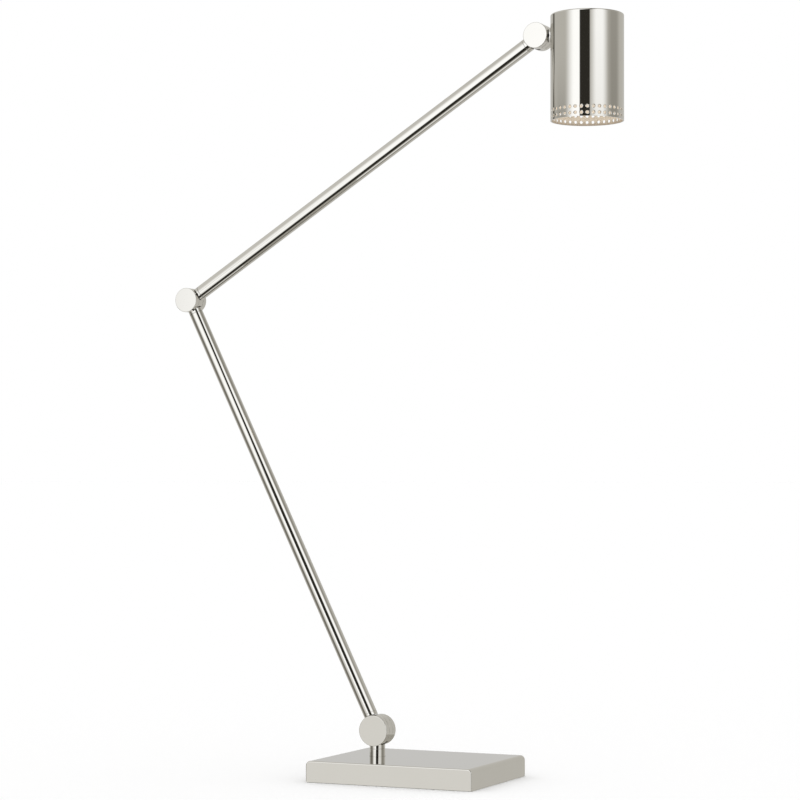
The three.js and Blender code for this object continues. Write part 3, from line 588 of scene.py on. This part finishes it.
def tongue(name, body, node, point, lean, drum, window, root):
    # window gives the open part of the rim, in degrees from this frame's +X towards +Z
    place = leaning(point, lean)
    across = alongY(place)
    half, bore, hub, w = joint["tongue"], joint["leadBore"], joint["hub"], joint["chamber"]
    hole, washer, seat = joint["bushHole"], joint["washerSeat"], half - joint["seatDepth"]
    disc = softened([(hole, -seat), (washer, -seat), (washer, -half), (drum, -half), (drum, half),
                     (washer, half), (washer, seat), (hole, seat)], [0, 0, 0, 0.2, 0.2, 0, 0, 0])
    piece = newObject(name, meshFrom(name, lambda bm: turnedInto(bm, disc, across, drumSides)), nickel)

    def chamber(bm):
        rim = drum - joint["rimWall"]
        turnedInto(bm, [(hub, -w), (rim, -w), (rim, w), (hub, w)], across)

    def opening(bm):
        margin = math.degrees(math.asin(bore / drum))
        low, high = math.radians(window[0] - margin), math.radians(window[1] + margin)
        steps, inner, outer = 40, drum - 2 * joint["rimWall"], drum + 2
        turns = [low + (high - low) * s / steps for s in range(steps + 1)]
        skin(bm, [vertRing(bm, [(r * math.cos(a), y, r * math.sin(a)) for r, y in
                                ((inner, -w), (outer, -w), (outer, w), (inner, w))], place) for a in turns],
             capped=True)

    leadWay = drill(bore, hub + 1, drum + 3, place, 32)
    cutAway(piece, meshFrom("chamber", chamber), meshFrom("opening", opening), leadWay)
    bm = bmesh.new()
    bm.from_mesh(piece.data)
    foot, top = drum - joint["rimWall"] / 2, drum + joint["gap"] + 1
    turnedInto(bm, [(bore, foot), (joint["neck"], foot), (joint["neck"], top), (bore, top)], place, 48)
    root(bm, place)
    bm.normal_update()
    bm.to_mesh(piece.data)
    bm.free()
    smooth(piece.data)
    paintGapShade(piece.data, point, drum)
    trueRounds(piece, (place, tube["radius"]), (across, drum))
    standsFor(piece, body, node)


def armRoot(drum):
    def fill(bm, place):
        end, plugRadius = drum + joint["gap"] + joint["root"], tube["bore"] - joint["plugFit"]
        plugEnd = end + tube["plug"]
        ringsInto(bm, [*copedRings(drum, tube["radius"]), ringAt(tube["radius"], end),
                       ringAt(plugRadius, end), ringAt(plugRadius, plugEnd),
                       ringAt(joint["leadBore"], plugEnd)], place)
    return fill


def leanOf(start, end):
    return math.degrees(math.atan2(end.x - start.x, end.z - start.z))


def tubePiece(name, body, node, start, end, size):
    length = (end - start).length / mm
    radius, bore = size["radius"], size["bore"]
    profile = softened([(bore, 0), (radius, 0), (radius, length), (bore, length)], tube["edge"])
    piece = turnedPiece(name, nickel, profile, leaning(start, leanOf(start, end)), drumSides)
    standsFor(piece, body, node)


def pivotScrew(name, body, node, point):
    shank, seat, tip, head = screw["radius"], screw["seat"], screw["tip"], screw["head"]
    top = seat + screw["headHeight"]
    place = alongY(Matrix.Translation(point))
    profile = softened([(0, tip), (shank, tip), (shank, seat), (head, seat), (head, top), (0, top)],
                       [0, 0.3, 0.1, 0.15, 0.4, 0], closed=False)
    piece = newObject(name, meshFrom(name, lambda bm: turnedInto(bm, profile, place, 64, False)), steel)
    cutAway(piece, drill(screw["socket"], top - screw["socketDepth"], top + 1, place, 6))
    flatsFirst(piece)
    standsFor(piece, body, node)


swivelPoint = jointPlace["base_tilt"]
elbowPoint = jointPlace["elbow"]
headPoint = jointPlace["head_tilt"]
lowerLean = leanOf(swivelPoint, elbowPoint)
upperLean = leanOf(elbowPoint, headPoint)
stubLean = 90.0


def otherWay(ownLean, otherLean, jointName):
    # the rim opening of a tongue, from where the other tube points and the joint's travel
    middle = 270 + ownLean - otherLean
    return middle + travel[jointName][0], middle + travel[jointName][1]


def along(start, lean, distance):
    return start + Vector((math.sin(math.radians(lean)), 0, math.cos(math.radians(lean)))) * (distance * mm)


clevis("baseJointClevis", "stem", "base_joint_clevis", swivelPoint, 180, stem)
clevis("elbowClevis", "lower_arm", "elbow_clevis", elbowPoint, lowerLean + 180, tube)
clevis("headClevis", "upper_arm", "head_clevis", headPoint, upperLean + 180, tube)
tongue("baseJointTongue", "lower_arm", "base_joint_tongue", swivelPoint, lowerLean, stem["drum"],
       otherWay(lowerLean, 0, "base_tilt"), armRoot(stem["drum"]))
tongue("elbowTongue", "upper_arm", "elbow_tongue", elbowPoint, upperLean, tube["drum"],
       otherWay(upperLean, lowerLean, "elbow"), armRoot(tube["drum"]))

# the tubes start where the roots of the clevises and tongues end
armEnd, stemEnd = (size["drum"] + joint["gap"] + joint["root"] + joint["seam"] for size in (tube, stem))
tubePiece("stem", "stem", "stem", Vector((base["stemX"], 0, stem["foot"])) * mm,
          along(swivelPoint, 180, stemEnd), stem)
tubePiece("lowerArmTube", "lower_arm", "lower_arm_tube", along(swivelPoint, lowerLean, stemEnd),
          along(elbowPoint, lowerLean + 180, armEnd), tube)
tubePiece("upperArmTube", "upper_arm", "upper_arm_tube", along(elbowPoint, upperLean, armEnd),
          along(headPoint, upperLean + 180, armEnd), tube)
pivotScrew("baseJointPivotScrew", "stem", "base_joint_pivot_screw", swivelPoint)
pivotScrew("elbowPivotScrew", "lower_arm", "elbow_pivot_screw", elbowPoint)
pivotScrew("headPivotScrew", "upper_arm", "head_pivot_screw", headPoint)
print("arms and joints made")


# the shade is a cup with two rows of holes near its rim, and heights on it start at the rim
shade = {
    "radius": 30.83, "height": 89.0, "wall": 1.0, "edge": 1.2, "edgeSteps": 8, "axisX": 43.5,
    "belowTop": 15.2, "turn": 1.7, "shankHole": 4.9,
}
holes = {
    "count": 38, "radius": 1.25, "heights": (3.0, 8.2), "split": 5.6, "bandTop": 11.2, "chamfer": 0.43,
    "chamferMiddle": (0.45, 0.24), "backEdge": 0.06, "columns": 8, "rows": 4,
}
# painted shade along the inner wall's rim, and a painted warm glow higher up that wall
inside = {
    "paintedRimShadeColour": (0.42, 0.35, 0.27), "paintedRimShadeTo": 4.5, "paintedGlow": 0.24, "paintedGlowColour": (1.0, 0.89, 0.75),
    "paintedGlowSpan": (8.0, 12.0),
}
shank = {"radius": 4.6, "length": 8.6, "bevel": 0.4, "shadeFit": 0.15}
shadePoint = headPoint + Vector((shade["axisX"], 0, 0)) * mm
rimZ = shadePoint.z / mm + shade["belowTop"] - shade["height"]


def piercedCell():
    # one flat column of the pierced band: two holes in a plate, X across, Y outwards, Z up
    pitch = 2 * math.pi * shade["radius"] / holes["count"]
    cols, rows = holes["columns"], holes["rows"]
    splits = (0.0, holes["split"], holes["bandTop"])
    size, chamfer, back = holes["radius"], holes["chamfer"], holes["backEdge"]
    middleOut, middleIn = (share * chamfer for share in holes["chamferMiddle"])
    wall = shade["wall"]
    bm = bmesh.new()
    for centre, low, high in zip(holes["heights"], splits, splits[1:]):
        edge = [(-pitch / 2 + pitch * i / cols, low) for i in range(cols)]
        edge += [(pitch / 2, low + (high - low) * i / rows) for i in range(rows)]
        edge += [(pitch / 2 - pitch * i / cols, high) for i in range(cols)]
        edge += [(-pitch / 2, high - (high - low) * i / rows) for i in range(rows)]
        ways = [Vector((x, z - centre)).normalized() for x, z in edge]

        def border(depth):
            return vertRing(bm, [(x, depth, z) for x, z in edge])

        def circle(radius, depth):
            return vertRing(bm, [(w.x * radius, depth, centre + w.y * radius) for w in ways])

        skin(bm, [border(0), circle(size + chamfer, 0), circle(size + middleOut, -middleIn),
                  circle(size, -chamfer), circle(size, back - wall), circle(size + back, -wall),
                  border(-wall)])
    bmesh.ops.remove_doubles(bm, verts=bm.verts, dist=1e-7)

    def rimLine(depth):
        # the vertices along the band's lower edge, from left to right
        line = [v for v in bm.verts if abs(v.co.z) < 1e-8 and abs(v.co.y + depth * mm) < 1e-8]
        return sorted(line, key=lambda v: v.co.x)

    front, rear = rimLine(0), rimLine(wall)
    for i in range(len(front) - 1):
        bm.faces.new((front[i], rear[i], rear[i + 1], front[i + 1]))
    mesh = bpy.data.meshes.new("piercedCell")
    bm.to_mesh(mesh)
    bm.free()
    return mesh


def wrapTree():
    # repeats a flat column round a cylinder
    tree = bpy.data.node_groups.new("piercedBand", "GeometryNodeTree")
    addSockets(tree, "INPUT", "Geometry", "Geometry")
    addSockets(tree, "INPUT", "Int", "Count")
    addSockets(tree, "INPUT", "Float", "Radius")
    addSockets(tree, "INPUT", "Material", "Material")
    addSockets(tree, "OUTPUT", "Geometry", "Geometry")
    start, end = addNode(tree, "NodeGroupInput"), addNode(tree, "NodeGroupOutput")
    radius = start.outputs["Radius"]
    around = mathNode(tree, "MULTIPLY", radius, 2 * math.pi)
    pitch = mathNode(tree, "DIVIDE", around, start.outputs["Count"])
    offset = addNode(tree, "ShaderNodeCombineXYZ")
    tree.links.new(pitch, offset.inputs["X"])
    line = addNode(tree, "GeometryNodeMeshLine", mode="OFFSET")
    tree.links.new(start.outputs["Count"], line.inputs["Count"])
    tree.links.new(offset.outputs[0], line.inputs["Offset"])
    repeat = addNode(tree, "GeometryNodeInstanceOnPoints")
    tree.links.new(line.outputs[0], repeat.inputs["Points"])
    tree.links.new(start.outputs["Geometry"], repeat.inputs["Instance"])
    real = addNode(tree, "GeometryNodeRealizeInstances")
    tree.links.new(repeat.outputs[0], real.inputs[0])
    here = addNode(tree, "ShaderNodeSeparateXYZ")
    tree.links.new(addNode(tree, "GeometryNodeInputPosition").outputs[0], here.inputs[0])
    angle = mathNode(tree, "DIVIDE", here.outputs["X"], radius)
    reach = mathNode(tree, "ADD", radius, here.outputs["Y"])
    there = addNode(tree, "ShaderNodeCombineXYZ")
    sideways = mathNode(tree, "MULTIPLY", reach, mathNode(tree, "SINE", angle))
    outwards = mathNode(tree, "MULTIPLY", reach, mathNode(tree, "COSINE", angle))
    tree.links.new(sideways, there.inputs["X"])
    tree.links.new(mathNode(tree, "MULTIPLY", outwards, -1.0), there.inputs["Y"])
    tree.links.new(here.outputs["Z"], there.inputs["Z"])
    bend = addNode(tree, "GeometryNodeSetPosition")
    tree.links.new(real.outputs[0], bend.inputs["Geometry"])
    tree.links.new(there.outputs[0], bend.inputs["Position"])
    merge = addNode(tree, "GeometryNodeMergeByDistance")
    merge.inputs["Distance"].default_value = 1e-6
    tree.links.new(bend.outputs[0], merge.inputs["Geometry"])
    paint = addNode(tree, "GeometryNodeSetMaterial")
    tree.links.new(merge.outputs[0], paint.inputs["Geometry"])
    tree.links.new(start.outputs["Material"], paint.inputs["Material"])
    tree.links.new(paint.outputs[0], end.inputs[0])
    return tree


def piercedBand():
    tree = wrapTree()
    holder = newObject("piercedBand", piercedCell())
    band = holder.modifiers.new("repeat", "NODES")
    band.node_group = tree
    names = {item.name: item.identifier for item in tree.interface.items_tree if item.in_out == "INPUT"}
    band[names["Count"]] = holes["count"]
    band[names["Radius"]] = shade["radius"] * mm
    band[names["Material"]] = nickel
    mesh = withModifiers(holder)
    bpy.data.objects.remove(holder)
    return mesh


def paintShadeAndGlowInside(material):
    # painted shade and painted light on the inner wall: its colour is darker along the rim, and a faint warm
    # glow is painted on it from above the pierced band upwards, though the wall is no lamp
    tree = material.node_tree
    shader = tree.nodes["Principled BSDF"]
    coords = addNode(tree, "ShaderNodeTexCoord")
    parts = addNode(tree, "ShaderNodeSeparateXYZ")
    tree.links.new(coords.outputs["Object"], parts.inputs[0])

    def upFrom(low, high):
        return rangeNode(tree, parts.outputs["Z"], (rimZ + low) * mm, (rimZ + high) * mm)

    finish = shader.inputs["Base Color"].links[0].from_socket
    # painted shade: the inner wall's colour darkens towards the rim
    paintedRimShade = mixColour(tree, upFrom(0, inside["paintedRimShadeTo"]), (*inside["paintedRimShadeColour"], 1), finish)
    tree.links.new(paintedRimShade, shader.inputs["Base Color"])
    # painted light: a faint warm glow on the inner wall, which is no lamp
    paintedGlow = mixColour(tree, upFrom(*inside["paintedGlowSpan"]), (0, 0, 0, 1), (*inside["paintedGlowColour"], 1))
    tree.links.new(paintedGlow, shader.inputs["Emission Color"])
    shader.inputs["Emission Strength"].default_value = inside["paintedGlow"]


def shadeShell():
    radius, wall, top, edge = shade["radius"], shade["wall"], shade["height"], shade["edge"]
    within, ceiling = radius - wall, top - wall
    sides = holes["count"] * holes["columns"]
    bm = bmesh.new()
    bm.from_mesh(piercedBand())
    corner = [(radius - edge * (1 - math.cos(a)), top - edge * (1 - math.sin(a)))
              for a in quarterTurn(shade["edgeSteps"])]
    outer = [(radius, holes["bandTop"]), *corner, (0, top)]
    inner = [(0, ceiling), (within - 1, ceiling), (within - 0.3, ceiling - 0.3), (within, ceiling - 1),
             (within, holes["bandTop"])]
    # the columns of the plain wall stand on those of the pierced band
    start = Matrix.Rotation(-math.pi / 2 - math.pi / holes["count"], 4, "Z")
    turnedInto(bm, outer, start, sides, False)
    turnedInto(bm, inner, start, sides, False)
    bmesh.ops.remove_doubles(bm, verts=bm.verts, dist=2e-6)
    bmesh.ops.recalc_face_normals(bm, faces=bm.faces)
    turn = Matrix.Rotation(math.radians(shade["turn"]), 4, "Z")
    for vert in bm.verts:
        vert.co = turn @ vert.co + Vector((shadePoint.x, 0, rimZ * mm))
    mesh = bpy.data.meshes.new("shade")
    bm.to_mesh(mesh)
    bm.free()
    mesh.materials.clear()
    piece = newObject("shade", mesh, nickel)
    mesh.materials.append(shadeInside)
    paintShadeAndGlowInside(shadeInside)
    cutAway(piece, drill(shade["shankHole"], radius - 4, radius + 3, leaning(shadePoint, -90)))
    trueNormals(piece.data)
    standsFor(piece, "head", "shade")


def trueNormals(mesh):
    # round walls reflect as true cylinders; faces on the inside take the inner finish
    axis = Vector((shadePoint.x, 0))
    slack = 0.01
    outerLimit = (shade["radius"] - slack) * mm
    innerLimit = (shade["radius"] - shade["wall"] + slack) * mm
    cornerFoot = (rimZ + shade["height"] - shade["edge"] + slack) * mm
    insideRadius = (shade["radius"] - holes["chamfer"] - 0.1) * mm
    insideTop = (rimZ + shade["height"] - shade["wall"] / 2) * mm

    def outFrom(point):
        return Vector((point.x, point.y)) - axis

    normals = [Vector(n.vector) for n in mesh.corner_normals]
    for face in mesh.polygons:
        points = [mesh.vertices[i].co for i in face.vertices]
        radii = [outFrom(p).length for p in points]
        side = 0
        if abs(face.normal.z) < 0.05:
            if min(radii) > outerLimit and max(p.z for p in points) < cornerFoot:
                side = 1
            elif max(radii) < innerLimit and min(radii) > innerLimit - 0.1 * mm:
                side = -1
        if side:
            for loop in face.loop_indices:
                p = mesh.vertices[mesh.loops[loop].vertex_index].co
                normals[loop] = outFrom(p).to_3d().normalized() * side
        if outFrom(face.center).length < insideRadius and face.center.z < insideTop:
            face.material_index = 1
    mesh.normals_split_custom_set(normals)


def stubRoot(bm, place):
    # the stub hollowed to its drum at one end and to the shade's wall at the other, then its threaded shank
    outer, thread, bevel = tube["radius"], shank["radius"], shank["bevel"]
    end = shade["axisX"] - shade["radius"] + shade["wall"] + shank["length"]

    def wall(radius):
        reach = shade["radius"] + shank["shadeFit"]
        return [(x, y, shade["axisX"] - math.sqrt(reach ** 2 - y ** 2))
                for x, y in circlePoints(radius, drumSides)]

    ringsInto(bm, [*copedRings(tube["drum"], outer), wall(outer), wall((outer + thread) / 2), wall(thread),
                   ringAt(thread, end - bevel), ringAt(thread - bevel, end),
                   ringAt(joint["leadBore"], end)], place)


shadeShell()
tongue("headTongue", "head", "head_tongue", headPoint, stubLean, tube["drum"],
       otherWay(stubLean, upperLean, "head_tilt"), stubRoot)
print("shade made")


# the lamp hangs from its bracket inside the shade, and depths start at the stub's axis
lamp = {
    "holderTop": 10.75, "holderHeight": 20.0, "holderRadius": 13.0, "groove": 1.0, "grooveFoot": 6.5,
    "bulbLength": 48.0, "capRadius": 9.0, "capHeight": 6.0, "rimRadius": 25.0, "rimHeight": 5.0,
    "lensRadius": 22.5, "lensThickness": 2.0, "fit": 0.15, "ribs": 24, "ribDepth": 0.5, "ribSides": 6,
    "bowlSteps": 12,
}


def lampHolder():
    top, radius, waist = lamp["holderTop"], lamp["holderRadius"], lamp["holderRadius"] - lamp["groove"]
    foot = top - lamp["holderHeight"]
    profile = softened([(0, foot), (radius, foot), (radius, foot + 5), (waist, foot + lamp["grooveFoot"]),
                        (waist, top - 5), (radius, top - 4), (radius, top), (0, top)],
                       [0, 1.0, 0.4, 0.4, 0.4, 0.4, 1.0, 0], closed=False)
    holder = turnedPiece("lampHolder", ceramic, profile, Matrix.Translation(shadePoint), closed=False)
    standsFor(holder, "head", "lamp_holder")


def bulbBody():
    # sections are radius, height and rib depth, from the cap over the ribbed bowl to the lens's seat
    top = lamp["holderTop"] - lamp["holderHeight"] - lamp["fit"]
    face = top - lamp["bulbLength"]
    cap, rim, lens = lamp["capRadius"], lamp["rimRadius"], lamp["lensRadius"]
    capFoot, rimTop = top - lamp["capHeight"], face + lamp["rimHeight"]
    seat, seatRadius = face + lamp["lensThickness"] + 0.3, lens + 0.3
    ribs, sides = lamp["ribs"], lamp["ribs"] * lamp["ribSides"]
    sections = [(0, top, 0), (cap - 0.5, top, 0), (cap, top - 0.5, 0), (cap, capFoot, 0)]
    for t in (s / lamp["bowlSteps"] for s in range(1, lamp["bowlSteps"] + 1)):
        sections.append((cap + (rim - cap) * math.sin(t * math.pi / 2) - 0.3,
                         capFoot + (rimTop - capFoot) * (t * 0.6 + 0.4 * t ** 3),
                         lamp["ribDepth"] * math.sin(math.pi * t)))
    sections += [(rim, rimTop - 0.3, 0), (rim, face + 0.4, 0), (rim - 0.4, face, 0), (lens + 0.5, face, 0),
                 (seatRadius, face + 0.2, 0), (seatRadius, seat, 0), (0, seat, 0)]

    def section(radius, height, rib):
        if radius == 0:
            return [(0, 0, height)]
        turns = [2 * math.pi * k / sides for k in range(sides)]
        reach = [radius - rib * (0.5 + 0.5 * math.cos(a * ribs)) ** 2 for a in turns]
        return [(r * math.cos(a), r * math.sin(a), height) for r, a in zip(reach, turns)]

    here = Matrix.Translation(shadePoint)
    bowl = meshFrom("bulbBody", lambda bm: skin(bm, [vertRing(bm, section(*row), here) for row in sections]))
    standsFor(newObject("bulbBody", bowl, bulbShell), "head", "bulb_body")
    front, rear = face + lamp["fit"], face + lamp["fit"] + lamp["lensThickness"]
    profile = softened([(0, front), (lens, front), (lens, rear), (0, rear)], [0, 0.5, 0.1, 0], closed=False)
    glass = turnedPiece("bulbLens", lensFrost, profile, here, closed=False)
    standsFor(glass, "head", "bulb_lens")


lampHolder()
bulbBody()
print("lamp made")


view = {"place": (0.889457, -1.956377, 0.259826), "turn": 24.829, "lens": 111.809, "shiftY": 0.09872}
camera = bpy.data.objects.new("camera", bpy.data.cameras.new("camera"))
scene.collection.objects.link(camera)
camera.location = view["place"]
camera.rotation_euler = (math.radians(90), 0, math.radians(view["turn"]))
camera.data.lens = view["lens"]
camera.data.sensor_width = 36
camera.data.shift_y = view["shiftY"]
camera.data.clip_end = 500
scene.camera = camera

# What polished metal shows of the room: an even grey, with lit and unlit patches laid over it in this
# order. A patch is at full strength within its half width and half height of its middle, an azimuth and
# an elevation, and fades beyond that. Azimuth 0 looks back at the camera, and positive ones are to its
# right. Levels run from 0 to 255, as nickel turned that way would show them.
studio = {
    "roomLevel": 175,
    "patches": {
        "backWall": {"middle": (180, -3), "half": (8, 8), "fade": (34, 12), "level": 206},
        "upperLeftWall": {"middle": (-100, 30), "half": (30, 8), "fade": (25, 12), "level": 191},
        "rightWall": {"middle": (50, -28), "half": (25, 22), "fade": (35, 18), "level": 200},
        "floorLeft": {"middle": (-52, -66), "half": (14, 12), "fade": (26, 26), "level": 200},
        "floorRight": {"middle": (62, -70), "half": (12, 14), "fade": (22, 26), "level": 226},
        "floorMiddle": {"middle": (6, -62), "half": (14, 18), "fade": (18, 24), "level": 142},
        "floorBehind": {"middle": (128, -74), "half": (8, 6), "fade": (18, 14), "level": 82},
        "leftUnlit": {"middle": (-94, -10), "half": (8, 16), "fade": (32, 4), "level": 108},
        "rightUnlit": {"middle": (88, 3), "half": (8, 3), "fade": (26, 14), "level": 136},
        "upperRightUnlit": {"middle": (112, 44), "half": (40, 6), "fade": (26, 14), "level": 134},
        "leftLight": {"middle": (-36, 6), "half": (8, 18), "fade": (36, 52), "level": 254},
        "rightLight": {"middle": (34, 26), "half": (8, 12), "fade": (25, 18), "level": 252},
        "lowScreen": {"middle": (-56, -6.5), "half": (9, 2), "fade": (8, 3), "level": 208},
        "leftPost": {"middle": (-134, 9), "half": (3, 1), "fade": (6, 3), "level": 80},
    },
    # the unlit strip between the two lights: an elevation, and the azimuths of its left and right sides there
    "strip": [(-60, -25, 10), (-40, -24, 6), (-20, -25, 12), (-5, -20, 18), (6, -20, 18), (8, -28, 4),
              (12, -28, 4), (16, -20, 7), (24, -9, 13), (32, 0, 14), (40, 8, 32)],
    "stripLevel": 42,
    "stripSoft": 2.0,
    # green and blue as shares of red, in the dark and in the light, and how far they turn white at a
    # grazing look
    "tint": {"dark": (0.91, 0.70), "light": (0.991, 0.955), "lightLevel": 250, "grazing": 0.8},
}


def litColour(level, azimuth, elevation):
    # light that a nickel surface turned to show this direction would send back at a display level
    tint = studio["tint"]
    red = linear(level)
    warmth = min(level / tint["lightLevel"], 1.0) ** 1.5
    facing = math.sqrt((1 + math.cos(math.radians(azimuth)) * math.cos(math.radians(elevation))) / 2)
    grazing = (1 - facing) ** 5
    shares = [dark + (light - dark) * warmth for dark, light in zip(tint["dark"], tint["light"])]
    target = (red, *(red * (share + (1 - share) * tint["grazing"] * grazing) for share in shares))
    return [t / (metal + (1 - metal) * grazing) for t, metal in zip(target, nickelColour)] + [1]


def makeWorld():
    world = bpy.data.worlds.new("studio")
    world.use_nodes = True
    scene.world = world
    tree = world.node_tree
    tree.nodes.clear()
    white = (1, 1, 1, 1)
    path = addNode(tree, "ShaderNodeLightPath")
    coords = addNode(tree, "ShaderNodeTexCoord")
    turned = addNode(tree, "ShaderNodeVectorRotate", rotation_type="Z_AXIS")
    turned.inputs["Angle"].default_value = math.radians(-view["turn"])
    tree.links.new(coords.outputs["Generated"], turned.inputs["Vector"])
    parts = addNode(tree, "ShaderNodeSeparateXYZ")
    tree.links.new(turned.outputs[0], parts.inputs[0])
    side, back, up = parts.outputs
    around = mathNode(tree, "ARCTAN2", side, mathNode(tree, "MULTIPLY", back, -1.0))
    azimuth = mathNode(tree, "MULTIPLY", around, 180 / math.pi)
    elevation = mathNode(tree, "MULTIPLY", mathNode(tree, "ARCSINE", up), 180 / math.pi)

    def nearTo(angle, middle, half, fade):
        away = mathNode(tree, "WRAP", mathNode(tree, "SUBTRACT", angle, middle), 180.0, -180.0)
        distance = mathNode(tree, "ABSOLUTE", away)
        return rangeNode(tree, distance, half, half + fade, fromOne=True, smoothly=True)

    room = litColour(studio["roomLevel"], 90, 0)
    for patch in studio["patches"].values():
        sides = zip((azimuth, elevation), patch["middle"], patch["half"], patch["fade"])
        across, upright = (nearTo(*sizes) for sizes in sides)
        within = mathNode(tree, "MULTIPLY", across, upright)
        room = mixColour(tree, within, room, litColour(patch["level"], *patch["middle"]))

    def share(angle):
        # -90 to 90 degrees as 0 to 1, which is what a ramp holds
        return angle / 180 + 0.5

    height = mathNode(tree, "MULTIPLY_ADD", elevation, 1 / 180, 0.5)
    heights, lefts, rights = zip(*studio["strip"])

    def past(sides):
        # 0 before a side that moves with elevation and 1 after it
        stops = [(share(h), (share(side),) * 3 + (1,)) for h, side in zip(heights, sides)]
        value = rampNode(tree, height, stops)
        degrees = mathNode(tree, "MULTIPLY_ADD", value, 180.0, -90.0)
        beyond = mathNode(tree, "SUBTRACT", azimuth, degrees)
        return rangeNode(tree, beyond, -studio["stripSoft"], studio["stripSoft"], smoothly=True)

    strip = mathNode(tree, "SUBTRACT", past(lefts), past(rights), clamp=True)
    room = mixColour(tree, strip, room, litColour(studio["stripLevel"], 0, 0))

    mirrored = mathNode(tree, "MAXIMUM", path.outputs["Is Glossy Ray"], path.outputs["Is Transmission Ray"])
    seen = mixColour(tree, mirrored, white, room)
    seen = mixColour(tree, path.outputs["Is Camera Ray"], seen, white)
    shader = addNode(tree, "ShaderNodeBackground")
    tree.links.new(seen, shader.inputs["Color"])
    tree.links.new(shader.outputs[0], addNode(tree, "ShaderNodeOutputWorld").inputs["Surface"])


def makeFloor():
    mesh = bpy.data.meshes.new("floor")
    reach = 200.0
    corners = [(x * reach, y * reach, 0) for x, y in ((-1, -1), (1, -1), (1, 1), (-1, 1))]
    mesh.from_pydata(corners, [], [(0, 1, 2, 3)])
    material, tree, shader, place = newMaterial("paleFloor")
    mesh.materials.append(material)
    shader.inputs["Base Color"].default_value = (1, 1, 1, 1)
    shader.inputs["Roughness"].default_value = 1.0
    shader.inputs["Specular IOR Level"].default_value = 0.0
    floor = newObject("floor", mesh)
    floor.visible_glossy = False


makeWorld()
makeFloor()
scene.view_settings.view_transform = "Standard"
print("camera, floor and light made")
